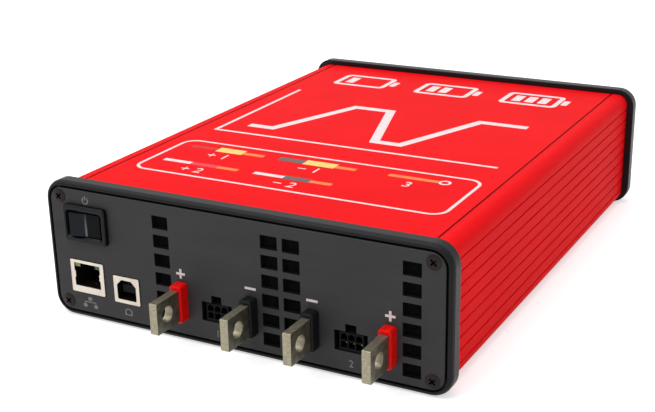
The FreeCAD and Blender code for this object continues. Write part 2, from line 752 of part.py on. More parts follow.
def front_bezel():
    """Rim swept round the panel's outline, with a screw web inside it."""
    rim = panel_outline(0).makePipeShell([bezel_section()], True, False)
    web = slab(rect(PANEL_WIDTH + PAST, PANEL_HEIGHT + PAST, PANEL_RADIUS, 0, MID),
               PANEL_THICKNESS, BODY_FRONT)
    opening = slab(rect(PANEL_WIDTH - 2 * BEZEL_WEB_SIDE, PANEL_HEIGHT - 2 * BEZEL_WEB_TOP,
                        BEZEL_OPEN_RADIUS, 0, MID), PANEL_THICKNESS - PAST, BODY_FRONT + PAST)
    places = four_corners(CORNER_SCREW_X, CORNER_SCREW_Z)
    lands = [rod(BEZEL_LAND_RADIUS, PANEL_THICKNESS - PAST, BODY_FRONT + PAST, x, z)
             for x, z in places]
    holes = [rod(CORNER_SCREW_RADIUS + SCREW_HOLE_FIT, PANEL_THICKNESS - PAST, BODY_FRONT + PAST,
                 x, z) for x, z in places]
    recess = slab(body_outline(BEZEL_FIT), BODY_FRONT, BEZEL_DEPTH + PAST)
    web = web.cut(opening.cut(lands))
    return rim.fuse(web).cut([recess] + holes).removeSplitter()


def panel_blank():
    blank = slab(rect(PANEL_WIDTH, PANEL_HEIGHT, PANEL_RADIUS, 0, MID), 0, PANEL_THICKNESS)
    return blank.makeChamfer(PANEL_CHAMFER, edges_at(blank, "y", 0))


def through(corners):
    """Cutting shape that passes through the front panel."""
    return slab(corners, -PAST, PANEL_THICKNESS + PAST)


def corner_holes():
    return [rod(CORNER_SCREW_RADIUS + SCREW_HOLE_FIT, -PAST, PANEL_THICKNESS + PAST, x, z)
            for x, z in four_corners(CORNER_SCREW_X, CORNER_SCREW_Z)]


def cross(reach, half, y0, y1, x, z):
    """The two blades of a cross recess."""
    return [block(x - reach, x + reach, y0, y1, z - half, z + half),
            block(x - half, x + half, y0, y1, z - reach, z + reach)]


def corner_screw(x, z):
    """Low domed head with a cross recess, and a plain thread-forming shank."""
    r = CORNER_HEAD_RADIUS
    top = CORNER_HEAD_HEIGHT
    rim = CORNER_HEAD_RIM
    shank = CORNER_SCREW_RADIUS
    dome_x, dome_y = CORNER_HEAD_DOME
    dome = Part.Arc(Vector(0, -top, 0), Vector(dome_x, -dome_y, 0), Vector(r, -rim, 0)).toShape()
    rest = Part.makePolygon([
        Vector(r, -rim, 0), Vector(r, 0, 0), Vector(shank, 0, 0),
        Vector(shank, CORNER_SCREW_LENGTH - CORNER_SCREW_TIP, 0),
        Vector(shank / 2, CORNER_SCREW_LENGTH, 0), Vector(0, CORNER_SCREW_LENGTH, 0),
        Vector(0, -top, 0)])
    half_section = Part.Face(Part.Wire([dome] + rest.Edges))
    screw = half_section.revolve(Vector(0, 0, 0), Vector(0, 1, 0), 360)
    recess = cross(CORNER_CROSS_REACH, CORNER_CROSS_HALF, -top - PAST, -top + CORNER_CROSS_DEPTH,
                   0, 0)
    screw = screw.cut(recess)
    screw.rotate(Vector(0, 0, 0), Vector(0, 1, 0), CORNER_CROSS_TURN)
    return moved(screw, x, 0, z)


def corner_screws():
    return group([corner_screw(x, z) for x, z in four_corners(CORNER_SCREW_X, CORNER_SCREW_Z)])


# Front panel and what it carries

def channel_centres():
    return (GROUP_X - CHANNEL_OFFSET, GROUP_X + CHANNEL_OFFSET)


def blade_places():
    """Centre of each blade, from left to right, with its name."""
    left, right = channel_centres()
    return [("left_positive", left - BLADE_OFFSET), ("left_negative", left + BLADE_OFFSET),
            ("right_negative", right - BLADE_OFFSET), ("right_positive", right + BLADE_OFFSET)]


def vent_columns():
    offsets = (-VENT_OUTER_OFFSET, -VENT_INNER_OFFSET, VENT_INNER_OFFSET, VENT_OUTER_OFFSET)
    return [GROUP_X + offset for offset in offsets]


def neck(x, grow=0.0):
    """Outline of the part of a bush that sits in the panel."""
    inset = grow - BUSH_NECK_INSET
    return rect(BUSH_WIDTH + 2 * inset, BUSH_HEIGHT + 2 * inset, BUSH_ROUND - BUSH_NECK_INSET,
                x, BUSH_MIDDLE)


def header_cutout(x):
    """Panel opening round a header, with the notch for the plug's latch."""
    a = HEADER_WIDTH / 2 + HEADER_CUT_SIDE
    n = HEADER_NOTCH_WIDTH / 2
    low = HEADER_BOTTOM - HEADER_CUT_BELOW
    high = HEADER_TOP + HEADER_CUT_ABOVE
    notch = high + HEADER_NOTCH_HEIGHT
    return sharp([(x - a, low), (x + a, low), (x + a, high), (x + n, high),
                  (x + n, notch), (x - n, notch), (x - n, high), (x - a, high)])


def between(x, width, z0, z1, radius=0.0, grow=0.0):
    """Rectangle corners from a centre, a width and two heights."""
    return rect(width + 2 * grow, z1 - z0 + 2 * grow, radius, x, (z0 + z1) / 2)


def front_panel():
    cuts = corner_holes()
    for x in vent_columns():
        for row in range(VENT_ROWS):
            cuts.append(through(rect(VENT_WIDTH, VENT_HEIGHT, VENT_CORNER, x,
                                     VENT_LOWEST + row * VENT_PITCH)))
    for name, x in blade_places():
        cuts.append(through(neck(x, PANEL_CUT_FIT)))
    for x in channel_centres():
        cuts.append(through(header_cutout(x)))
    fit = SOCKET_CUT_FIT
    cuts.append(through(rect(SWITCH_BODY_WIDTH + 2 * fit, SWITCH_BODY_HEIGHT + 2 * fit,
                             SOCKET_CORNER, SWITCH_X, SWITCH_Z)))
    cuts.append(through(between(ETHERNET_X, ETHERNET_WIDTH, ETHERNET_BOTTOM, ETHERNET_TOP,
                                SOCKET_CORNER, fit)))
    cuts.append(through(between(USB_X, USB_WIDTH, USB_BOTTOM, USB_TOP, SOCKET_CORNER, fit)))
    return panel_blank().cut(cuts)


def across(radius, x0, x1, y, z):
    """Cylinder along X."""
    return Part.makeCylinder(radius, x1 - x0, Vector(x0, y, z), Vector(1, 0, 0))


def clamp_bore(x):
    reach = CLAMP_HALF + PAST
    return across(CLAMP_SCREW_RADIUS + CLAMP_SCREW_FIT, x - reach, x + reach,
                  CLAMP_SCREW_Y, CLAMP_SCREW_Z)


def blade(x):
    """Flat terminal bar on edge, stepped up behind the panel for its clamp."""
    r = BLADE_EDGE_ROUND
    half = BLADE_THICKNESS / 2
    step = CLAMP_FRONT - CLAMP_STEP_GAP
    bar = cheek([(-BLADE_REACH, BLADE_BOTTOM, r), (step, BLADE_BOTTOM, 0),
                 (step, CLAMP_LIFT, 0), (BLADE_BACK, CLAMP_LIFT, 0),
                 (BLADE_BACK, BLADE_TOP, r), (-BLADE_REACH, BLADE_TOP, r)], x - half, x + half)
    hole = across(BLADE_HOLE_RADIUS, x - half - PAST, x + half + PAST, BLADE_HOLE_Y, BLADE_HOLE_Z)
    return bar.cut([hole, clamp_bore(x)])


def bush(x):
    """Insulator: a block in front of the panel, a neck through it and a clip."""
    front = slab(rect(BUSH_WIDTH, BUSH_HEIGHT, BUSH_ROUND, x, BUSH_MIDDLE), -BUSH_REACH, 0)
    front = front.makeFillet(BUSH_FACE_ROUND, edges_at(front, "y", -BUSH_REACH))
    body = slab(neck(x), -BUSH_FACE_ROUND, PANEL_THICKNESS)
    back = PANEL_THICKNESS + BUSH_CLIP
    clip = Part.makeLoft([rounded(neck(x, BUSH_BARB), upright(PANEL_THICKNESS)),
                          rounded(neck(x, -BUSH_BARB_TAPER), upright(back))], True, True)
    slot = slab(between(x, BLADE_THICKNESS, BLADE_BOTTOM, BLADE_TOP, 0, BUSH_SLOT_FIT),
                -BUSH_REACH - PAST, back + PAST)
    return fuse([front, body, clip]).cut(slot)


def blade_clamp(x):
    """Tinned block on the board; the blade stands in its slot."""
    inner = BLADE_THICKNESS / 2
    u = slab(sharp([(x - CLAMP_HALF, BOARD_TOP), (x + CLAMP_HALF, BOARD_TOP),
                    (x + CLAMP_HALF, BLADE_TOP), (x + inner, BLADE_TOP), (x + inner, CLAMP_LIFT),
                    (x - inner, CLAMP_LIFT), (x - inner, BLADE_TOP), (x - CLAMP_HALF, BLADE_TOP)]),
             CLAMP_FRONT, BLADE_BACK)
    return u.cut(clamp_bore(x))


def hexagon(radius, a, b):
    """Corners of a nut round the point (a, b)."""
    turns = [math.radians(60 * k) for k in range(6)]
    return sharp([(a + radius * math.cos(turn), b + radius * math.sin(turn)) for turn in turns])


def clamp_screw(x):
    """Cross screw through the clamp and the blade, with a hexagon nut."""
    y, z = CLAMP_SCREW_Y, CLAMP_SCREW_Z
    left, right = x - CLAMP_HALF, x + CLAMP_HALF
    shank = across(CLAMP_SCREW_RADIUS, left, right + CLAMP_SCREW_END, y, z)
    head = across(CLAMP_HEAD_RADIUS, left - CLAMP_HEAD_HEIGHT, left, y, z)
    nut = cheek(hexagon(CLAMP_NUT_RADIUS, y, z), right, right + CLAMP_NUT_HEIGHT)
    return fuse([shank, head, nut])


def header_cells():
    """Column offset and height of each of the six cells."""
    return [(column * HEADER_PITCH, HEADER_CENTRE_Z + row * HEADER_PITCH / 2)
            for row in (-1, 1) for column in (-1, 0, 1)]


def header_pocket(x, z):
    """Square cell; those of the upper row have two corners cut off as keys."""
    a = HEADER_CELL / 2
    outline = rect(2 * a, 2 * a, 0, x, z)
    if z > HEADER_CENTRE_Z:
        k = HEADER_KEY
        outline = sharp([(x - a, z - a), (x + a, z - a), (x + a, z + a - k), (x + a - k, z + a),
                         (x - a + k, z + a), (x - a, z + a - k)])
    return slab(outline, HEADER_FACE - PAST, HEADER_FACE + HEADER_POCKET)


def header(x):
    """Six square cells behind the panel, with a latch ramp on top."""
    housing = slab(between(x, HEADER_WIDTH, HEADER_BOTTOM, HEADER_TOP, HEADER_CORNER),
                   HEADER_FACE, HEADER_BACK)
    crest = HEADER_TOP + HEADER_RAMP_HEIGHT
    ramp = cheek(sharp([(HEADER_FACE + HEADER_RAMP_START, HEADER_TOP),
                        (HEADER_FACE + HEADER_RAMP_END, HEADER_TOP),
                        (HEADER_FACE + HEADER_RAMP_END, crest),
                        (HEADER_FACE + HEADER_RAMP_CREST, crest)]),
                 x - HEADER_RAMP_HALF, x + HEADER_RAMP_HALF)
    feet = []
    for side in (-1, 1):
        foot = x + side * HEADER_FOOT_X
        feet.append(block(foot - HEADER_FOOT_WIDTH / 2, foot + HEADER_FOOT_WIDTH / 2,
                          HEADER_BACK - HEADER_FOOT_LENGTH, HEADER_BACK, BOARD_TOP, HEADER_BOTTOM))
    pockets = [header_pocket(x + column, z) for column, z in header_cells()]
    return fuse([housing, ramp] + feet).cut(pockets)


def header_pins(x):
    """Square pins, bent down to the board behind the housing."""
    pins = []
    a = HEADER_PIN / 2
    for column, z in header_cells():
        left, right = x + column - a, x + column + a
        bend = HEADER_BACK + HEADER_TAILS[z > HEADER_CENTRE_Z]
        pins.append(block(left, right, HEADER_FACE + HEADER_PIN_FRONT,
                          HEADER_FACE + HEADER_POCKET, z - a, z + a))
        pins.append(cheek(sharp([(HEADER_BACK, z - a), (bend - a, z - a), (bend - a, BOARD_TOP),
                                 (bend + a, BOARD_TOP), (bend + a, z + a), (HEADER_BACK, z + a)]),
                          left, right))
    return group(pins)


def switch_rect(half_width, half_height, radius, grow=0.0):
    return rect(2 * (half_width + grow), 2 * (half_height + grow), radius, SWITCH_X, SWITCH_Z)


def switch_housing():
    """Flange, body and well of the power switch."""
    front = -SWITCH_FLANGE_REACH
    half_width, half_height = SWITCH_BODY_WIDTH / 2, SWITCH_BODY_HEIGHT / 2
    flange = slab(switch_rect(half_width + SWITCH_FLANGE_END, half_height + SWITCH_FLANGE_SIDE,
                              SWITCH_FLANGE_CORNER), front, 0)
    flange = flange.makeFillet(SWITCH_FLANGE_ROUND, edges_at(flange, "y", front))
    body = slab(switch_rect(half_width, half_height, SWITCH_BODY_CORNER), front / 2,
                SWITCH_BODY_DEPTH)
    corner = SWITCH_WELL_CORNER
    well = slab(switch_rect(SWITCH_WELL_HALF, SWITCH_WELL_TALL, corner), front - PAST,
                SWITCH_WELL_DEPTH)
    wide = switch_rect(SWITCH_WELL_HALF, SWITCH_WELL_TALL, corner + SWITCH_FUNNEL, SWITCH_FUNNEL)
    tight = switch_rect(SWITCH_WELL_HALF, SWITCH_WELL_TALL, corner)
    funnel = Part.makeLoft([rounded(wide, upright(front - FUNNEL_OVERLAP)),
                            rounded(tight, upright(front + SWITCH_FUNNEL_DEPTH))], True, True)
    deep = ROCKER_HALF_HEIGHT + ROCKER_PIN_REACH + ROCKER_PIN_END
    pins = post(ROCKER_PIN_RADIUS + ROCKER_PIN_FIT, SWITCH_Z - deep, SWITCH_Z + deep,
                SWITCH_X, ROCKER_PIVOT_Y)
    return fuse([flange, body]).cut([well, funnel, pins])


def switch_rocker():
    """Shallow V key, stored with its right half pressed in."""
    y = ROCKER_PIVOT_Y
    a, tip = ROCKER_HALF_LENGTH, ROCKER_TIP
    skirt = math.sqrt(ROCKER_RADIUS ** 2 - ROCKER_SKIRT ** 2)
    at = lambda u, v: Vector(SWITCH_X + u, y + v, SWITCH_Z - ROCKER_HALF_HEIGHT)
    start, middle, end = corner_arc((-a, -tip), (0, -ROCKER_VALLEY), (a, -tip),
                                    ROCKER_VALLEY_RADIUS)
    right_end = Part.Arc(at(a, -tip), at(ROCKER_RADIUS, 0), at(skirt, ROCKER_SKIRT)).toShape()
    left_end = Part.Arc(at(-skirt, ROCKER_SKIRT), at(-ROCKER_RADIUS, 0), at(-a, -tip)).toShape()
    valley = Part.Arc(at(start.x, start.y), at(middle.x, middle.y), at(end.x, end.y)).toShape()
    keel = Part.makePolygon([at(skirt, ROCKER_SKIRT), at(ROCKER_KEEL_HALF, ROCKER_KEEL),
                             at(-ROCKER_KEEL_HALF, ROCKER_KEEL), at(-skirt, ROCKER_SKIRT)])
    outline = Part.Wire([Part.makeLine(at(-a, -tip), at(start.x, start.y)), valley,
                         Part.makeLine(at(end.x, end.y), at(a, -tip)), right_end]
                        + keel.Edges + [left_end])
    key = Part.Face(outline).extrude(Vector(0, 0, 2 * ROCKER_HALF_HEIGHT))
    reach = ROCKER_HALF_HEIGHT + ROCKER_PIN_REACH
    pins = post(ROCKER_PIN_RADIUS, SWITCH_Z - reach, SWITCH_Z + reach, SWITCH_X, y)
    rocker = fuse([key, pins])
    rocker.rotate(Vector(SWITCH_X, y, 0), Vector(0, 0, 1), ROCKER_ANGLE)
    return rocker


def switch_tabs():
    """Two flat blades behind the switch, with their rear corners rounded."""
    back = SWITCH_BODY_DEPTH
    end = back + SWITCH_TAB_LENGTH
    half, corner = SWITCH_TAB_WIDTH / 2, SWITCH_TAB_THICKNESS
    tabs = []
    for side in (-1, 1):
        x = SWITCH_X + side * SWITCH_TAB_OFFSET
        tabs.append(cheek([(back, SWITCH_Z - half, 0), (end, SWITCH_Z - half, corner),
                           (end, SWITCH_Z + half, corner), (back, SWITCH_Z + half, 0)],
                          x - SWITCH_TAB_THICKNESS / 2, x + SWITCH_TAB_THICKNESS / 2))
    return group(tabs)


def socket_shell(x, width, low, high, depth, mouth):
    """Folded sheet box round a socket, with its mouth cut in the front."""
    outer = slab(between(x, width, low, high, SOCKET_CORNER), -SOCKET_REACH, depth)
    inner = slab(between(x, width, low, high, SOCKET_INNER_CORNER, -SOCKET_SHEET), 0, depth + PAST)
    return outer.cut([inner, slab(mouth, -SOCKET_REACH - PAST, PAST)])


def socket_body(x, width, low, high, depth):
    """Moulding that fills a shell but for a gap at the back."""
    return slab(between(x, width, low, high, SOCKET_INNER_CORNER, -SOCKET_SHEET), 0,
                depth - SOCKET_BACK_GAP)


def ethernet_mouth():
    """Mouth with a sprung tab that stands in from each side."""
    low, high = ETHERNET_OPEN_BOTTOM, ETHERNET_OPEN_TOP
    middle = (low + high) / 2
    reach, stand = ETHERNET_SPRING_HEIGHT / 2, ETHERNET_SPRING_STAND
    a = ETHERNET_OPEN_WIDTH / 2
    side = [(a, low), (a, middle - reach), (a - stand, middle - reach + stand),
            (a - stand, middle + reach - stand), (a, middle + reach), (a, high)]
    return sharp([(ETHERNET_X + x, z) for x, z in side]
                 + [(ETHERNET_X - x, z) for x, z in reversed(side)])


def ethernet_shell():
    return socket_shell(ETHERNET_X, ETHERNET_WIDTH, ETHERNET_BOTTOM, ETHERNET_TOP,
                        ETHERNET_DEPTH, ethernet_mouth())


def ethernet_light(side, y0, y1):
    """Small window in one top corner of the mouth, beside the latch's way."""
    width = (ETHERNET_OPEN_WIDTH - ETHERNET_LATCH_WIDTH) / 2 - ETHERNET_LIGHT_GAP
    x = ETHERNET_X + side * (ETHERNET_OPEN_WIDTH - width) / 2
    return slab(between(x, width, ETHERNET_OPEN_TOP - ETHERNET_LATCH_HEIGHT, ETHERNET_OPEN_TOP),
                y0, y1)


def ethernet_insert():
    """Moulded body with the stepped plug cavity and the two windows' pockets."""
    x, low, high = ETHERNET_X, ETHERNET_OPEN_BOTTOM, ETHERNET_OPEN_TOP
    step = high - ETHERNET_LATCH_HEIGHT
    a, n = ETHERNET_OPEN_WIDTH / 2, ETHERNET_LATCH_WIDTH / 2
    cavity = slab(sharp([(x - a, low), (x + a, low), (x + a, step), (x + n, step),
                         (x + n, high), (x - n, high), (x - n, step), (x - a, step)]),
                  -PAST, ETHERNET_CAVITY_DEPTH)
    windows = [ethernet_light(side, -PAST, ETHERNET_LIGHT_DEPTH) for side in (-1, 1)]
    body = socket_body(x, ETHERNET_WIDTH, ETHERNET_BOTTOM, ETHERNET_TOP, ETHERNET_DEPTH)
    return body.cut([cavity] + windows)


def ethernet_feet():
    """Pegs that carry the socket on the board."""
    pegs = []
    for side in (-1, 1):
        x = ETHERNET_X + side * ETHERNET_FOOT_X
        for y in ETHERNET_FOOT_Y:
            pegs.append(block(x - ETHERNET_FOOT / 2, x + ETHERNET_FOOT / 2, y, y + ETHERNET_FOOT,
                              BOARD_TOP, ETHERNET_BOTTOM))
    return group(pegs)


def ethernet_contacts():
    """Sprung wires that rise from the floor of the cavity."""
    low = ETHERNET_OPEN_BOTTOM
    high = low + ETHERNET_WIRE_RISE
    top = high + ETHERNET_WIRE_THICKNESS
    start, crest, back = ETHERNET_WIRE_START, ETHERNET_WIRE_CREST, ETHERNET_CAVITY_DEPTH
    outline = sharp([(start, low), (start + ETHERNET_WIRE_FOOT, low), (crest, high), (back, high),
                     (back, top), (crest, top)])
    springs = []
    for k in range(ETHERNET_WIRE_COUNT):
        x = ETHERNET_X + (k - (ETHERNET_WIRE_COUNT - 1) / 2) * ETHERNET_WIRE_PITCH
        springs.append(cheek(outline, x - ETHERNET_WIRE / 2, x + ETHERNET_WIRE / 2))
    return group(springs)


def usb_mouth():
    """Near-square mouth with its two upper corners cut off."""
    a = USB_OPEN_WIDTH / 2
    middle = (USB_BOTTOM + USB_TOP) / 2
    low, high = middle - USB_OPEN_HEIGHT / 2, middle + USB_OPEN_HEIGHT / 2
    return [(USB_X - a, low, USB_ROUND), (USB_X + a, low, USB_ROUND),
            (USB_X + a, high - USB_CORNER, USB_ROUND), (USB_X + a - USB_CORNER, high, USB_ROUND),
            (USB_X - a + USB_CORNER, high, USB_ROUND), (USB_X - a, high - USB_CORNER, USB_ROUND)]


def usb_shell():
    return socket_shell(USB_X, USB_WIDTH, USB_BOTTOM, USB_TOP, USB_DEPTH, usb_mouth())


def usb_insert():
    """Moulded body: a cavity with the contact tongue in its middle."""
    tongue = slab(rect(USB_TONGUE_WIDTH, USB_TONGUE_HEIGHT, SOCKET_INNER_CORNER, USB_X,
                       USB_TONGUE_Z), USB_TONGUE_FRONT, USB_OPEN_DEPTH + PAST)
    cavity = slab(usb_mouth(), -PAST, USB_OPEN_DEPTH).cut(tongue)
    return socket_body(USB_X, USB_WIDTH, USB_BOTTOM, USB_TOP, USB_DEPTH).cut(cavity)


def usb_contacts():
    """Four strips, two above and two below the tongue."""
    half = USB_STRIP_WIDTH / 2
    strips = []
    for side in (-1, 1):
        x = USB_X + side * USB_STRIP_OFFSET
        for up in (-1, 1):
            z = USB_TONGUE_Z + up * (USB_TONGUE_HEIGHT + USB_STRIP_THICKNESS) / 2
            strips.append(block(x - half, x + half, USB_STRIP_FRONT, USB_OPEN_DEPTH,
                                z - USB_STRIP_THICKNESS / 2, z + USB_STRIP_THICKNESS / 2))
    return group(strips)


# Rear panel and what it carries

def rear_cut(corners):
    """Cutting shape that passes through the rear panel."""
    return slab(corners, BACK_PANEL_INNER - PAST, OVERALL + PAST)


def rear_hole(radius, x, z):
    return rod(radius, BACK_PANEL_INNER - PAST, OVERALL + PAST, x, z)


def inlet_outline(grow=0.0):
    """The inlet's opening, grown to its walls: the two upper corners are cut off."""
    a, b = INLET_OPEN_WIDTH / 2 + grow, INLET_OPEN_HEIGHT / 2 + grow
    x, z, k = INLET_X, MID, INLET_CORNER
    low, high = INLET_LOW_ROUND, INLET_HIGH_ROUND
    return [(x - a, z - b, low), (x + a, z - b, low), (x + a, z + b - k, high),
            (x + a - k, z + b, high), (x - a + k, z + b, high), (x - a, z + b - k, high)]


def turned_slab(corners, y0, y1, x, angle):
    """Slab turned about the axis of a fan at x."""
    piece = slab(corners, y0, y1)
    piece.rotate(Vector(x, 0, MID), Vector(0, 1, 0), angle)
    return piece


def grille(x):
    """Arc slots in rings over a fan, parted by two crossed bars."""
    y0, y1 = BACK_PANEL_INNER - PAST, OVERALL + PAST
    bars = [turned_slab(rect(2 * FAN_SIZE, GRILLE_BAR, 0, x, MID), y0, y1, x, angle)
            for angle in (45, 135)]
    slots = []
    for k in range(GRILLE_RINGS):
        radius = GRILLE_INNER + k * GRILLE_PITCH
        ring = rear_hole(radius + GRILLE_SLOT / 2, x, MID).cut(
            rear_hole(radius - GRILLE_SLOT / 2, x, MID))
        slots += ring.cut(bars).Solids
    return slots


def fan_corners(x):
    a = FAN_SIZE / 2 - FAN_HOLE_INSET
    return [(x + sx * a, MID + sz * a) for sx in (-1, 1) for sz in (-1, 1)]


def inlet_screw_places():
    return [INLET_X + side * INLET_SCREW_PITCH / 2 for side in (-1, 1)]


def rear_panel():
    cuts = [turned_round(hole) for hole in corner_holes()]
    for x in FAN_X:
        cuts += grille(x)
        cuts += [rear_hole(FAN_SCREW_RADIUS + FAN_SCREW_HOLE_FIT, cx, cz)
                 for cx, cz in fan_corners(x)]
    cuts += [rear_hole(INLET_SCREW_RADIUS + INLET_SCREW_FIT, x, MID)
             for x in inlet_screw_places()]
    cuts.append(rear_cut(inlet_outline(INLET_WALL + INLET_CUT_FIT)))
    return turned_round(panel_blank()).cut(cuts)


def inlet_housing():
    """Screw-fixed mains inlet: flange with ears, body and pin cavity."""
    back = OVERALL + INLET_FLANGE_THICKNESS
    x, z, r = INLET_X, MID, INLET_FLANGE_ROUND
    a, b, flat = INLET_FLANGE_WIDTH / 2, INLET_FLANGE_HEIGHT / 2, INLET_FLANGE_FLAT
    flange = slab([(x - a, z, r), (x - flat, z - b, r), (x + flat, z - b, r), (x + a, z, r),
                   (x + flat, z + b, r), (x - flat, z + b, r)], OVERALL, back)
    ears = slab(rect(2 * a, INLET_EAR_HEIGHT, r, x, z), OVERALL, back)
    body = slab(inlet_outline(INLET_WALL), back - INLET_BODY_DEPTH, back - PAST)
    cuts = [slab(inlet_outline(), back - INLET_OPEN_DEPTH, back + PAST)]
    hole = INLET_SCREW_RADIUS + INLET_SCREW_FIT
    for screw_x in inlet_screw_places():
        cuts.append(rod(hole, OVERALL - PAST, back + PAST, screw_x, z))
        cuts.append(Part.makeCone(hole, INLET_HEAD_RADIUS + INLET_SCREW_FIT, INLET_HEAD_HEIGHT,
                                  Vector(screw_x, back - INLET_HEAD_HEIGHT, z), Vector(0, 1, 0)))
    return fuse([flange, ears, body]).cut(cuts)


def inlet_pins():
    """Two line pins below and the earth pin above, each with a rear tab."""
    back = OVERALL + INLET_FLANGE_THICKNESS
    rear = back - INLET_BODY_DEPTH
    tab_width, tab_height = INLET_TAB
    pins = []
    for column in (-1, 0, 1):
        x = INLET_X + column * INLET_PIN_PITCH / 2
        z = MID + (INLET_EARTH_RISE if column == 0 else -INLET_EARTH_RISE)
        pins.append(slab(rect(INLET_PIN_WIDTH, INLET_PIN_HEIGHT, INLET_PIN_CORNER, x, z),
                         back - INLET_OPEN_DEPTH, back - INLET_PIN_SHORT))
        pins.append(slab(rect(tab_width, tab_height, 0, x, z), rear - INLET_TAB_LENGTH, rear))
    return group(pins)


def inlet_screws():
    """Countersunk screws with nuts behind the panel."""
    back = OVERALL + INLET_FLANGE_THICKNESS
    screws = []
    for x in inlet_screw_places():
        head = Part.makeCone(INLET_SCREW_RADIUS, INLET_HEAD_RADIUS, INLET_HEAD_HEIGHT,
                             Vector(x, back - INLET_HEAD_HEIGHT, MID), Vector(0, 1, 0))
        shank = rod(INLET_SCREW_RADIUS, BACK_PANEL_INNER - INLET_SCREW_END,
                    back - INLET_HEAD_HEIGHT / 2, x, MID)
        nut = slab(hexagon(INLET_NUT_RADIUS, x, MID), BACK_PANEL_INNER - INLET_NUT_HEIGHT,
                   BACK_PANEL_INNER)
        recess = cross(CROSS_REACH, CROSS_HALF, back - CROSS_DEPTH, back + PAST, x, MID)
        screws.append(fuse([head, shank, nut]).cut(recess))
    return group(screws)


def fan_frame(x):
    """Square duct with four screw ears at each end and a spoked motor seat."""
    front, back = BACK_PANEL_INNER - FAN_DEPTH, BACK_PANEL_INNER
    duct = slab(rect(FAN_SIZE, FAN_SIZE, FAN_CORNER, x, MID), front, back)
    ring = rod(FAN_BORE + FAN_WALL, front - PAST, back + PAST, x, MID)
    waist = slab(rect(2 * FAN_SIZE, FAN_SIZE - 2 * FAN_EAR, 0, x, MID), front + FAN_EAR_DEPTH,
                 back - FAN_EAR_DEPTH).cut(ring)
    holes = [rod(FAN_SCREW_RADIUS + SCREW_THREAD_FIT, front - PAST, back + PAST, cx, cz)
             for cx, cz in fan_corners(x)]
    bore = rod(FAN_BORE, front - PAST, back + PAST, x, MID)
    spokes = [turned_slab(rect(2 * FAN_BORE + FAN_WALL, FAN_SPOKE, 0, x, MID), front,
                          front + FAN_SPOKE, x, angle) for angle in (0, 90)]
    seat = rod(FAN_HUB_RADIUS, front, front + FAN_SEAT_DEPTH, x, MID)
    bearing = rod(FAN_SHAFT_RADIUS + FAN_SHAFT_FIT, front + FAN_BEARING_FLOOR,
                  front + FAN_SEAT_DEPTH + PAST, x, MID)
    return fuse([duct.cut([bore, waist] + holes)] + spokes + [seat]).cut(bearing)


def fan_rotor(x):
    """Hub on its shaft with pitched blades."""
    front = BACK_PANEL_INNER - FAN_DEPTH
    low, high = front + FAN_ROTOR_FRONT, BACK_PANEL_INNER - FAN_ROTOR_BACK
    tip = FAN_BORE - FAN_TIP_GAP
    hub = rod(FAN_HUB_RADIUS, low, high, x, MID)
    hub = hub.makeFillet(FAN_HUB_ROUND, edges_at(hub, "y", high))
    shaft = rod(FAN_SHAFT_RADIUS, front + FAN_SHAFT_END, low + PAST, x, MID)
    root = rod(FAN_HUB_RADIUS - FAN_BLADE_INSET, low, high, x, MID)
    sleeve = rod(tip, low + FAN_BLADE_INSET, high - FAN_BLADE_INSET, x, MID).cut(root)
    half = FAN_BLADE_THICKNESS / 2
    blades = []
    for k in range(FAN_BLADES):
        plane = block(FAN_HUB_RADIUS - PAST, tip + PAST, -FAN_DEPTH, FAN_DEPTH, -half, half)
        plane.rotate(Vector(0, 0, 0), Vector(1, 0, 0), FAN_BLADE_ANGLE)
        plane.rotate(Vector(0, 0, 0), Vector(0, 1, 0), 360.0 * k / FAN_BLADES)
        blades.append(moved(plane, x, (low + high) / 2, MID).common(sleeve))
    return fuse([hub, shaft] + blades)


def fan_screws():
    """Pan-head screws through the rear panel into the fan corners."""
    top = OVERALL + FAN_HEAD_HEIGHT
    screws = []
    for fan in FAN_X:
        for x, z in fan_corners(fan):
            head = rod(FAN_HEAD_RADIUS, OVERALL, top, x, z)
            head = head.makeFillet(FAN_HEAD_ROUND, edges_at(head, "y", top))
            shank = rod(FAN_SCREW_RADIUS, OVERALL - FAN_SCREW_LENGTH, OVERALL, x, z)
            recess = cross(CROSS_REACH, CROSS_HALF, top - CROSS_DEPTH, top + PAST, x, z)
            screws.append(fuse([head, shank]).cut(recess))
    return group(screws)


# Inside

def main_board():
    width = BODY_WIDTH - 2 * (BODY_WALL + BOARD_EDGE_GAP)
    middle = (BOARD_FRONT + BOARD_BACK) / 2
    return plate(rect(width, BOARD_BACK - BOARD_FRONT, BOARD_CORNER, 0, middle),
                 BOARD_BOTTOM, BOARD_TOP)


def heat_sink(x):
    """Finned extrusion that stands on the board over its transistors."""
    a = SINK_HALF_WIDTH
    parts = [between(x, 2 * a, SINK_BASE_BOTTOM, SINK_BASE_TOP)]
    for side in (-1, 1):
        parts.append(between(x + side * (a - SINK_LEG / 2), SINK_LEG, BOARD_TOP, SINK_BASE_TOP))
    for k in range(SINK_FIN_COUNT):
        fin_x = x - a + SINK_FIN / 2 + k * (2 * a - SINK_FIN) / (SINK_FIN_COUNT - 1)
        parts.append(between(fin_x, SINK_FIN, SINK_BASE_BOTTOM, SINK_BASE_TOP + SINK_FIN_HEIGHT))
    faces = [face(corners, upright(SINK_FRONT)) for corners in parts]
    return fuse(faces).extrude(Vector(0, SINK_BACK - SINK_FRONT, 0))


def transistor_places():
    return [(x, SINK_FRONT + TRANSISTOR_FRONT_GAP + k * TRANSISTOR_PITCH)
            for x in channel_centres() for k in range(TRANSISTOR_COUNT)]


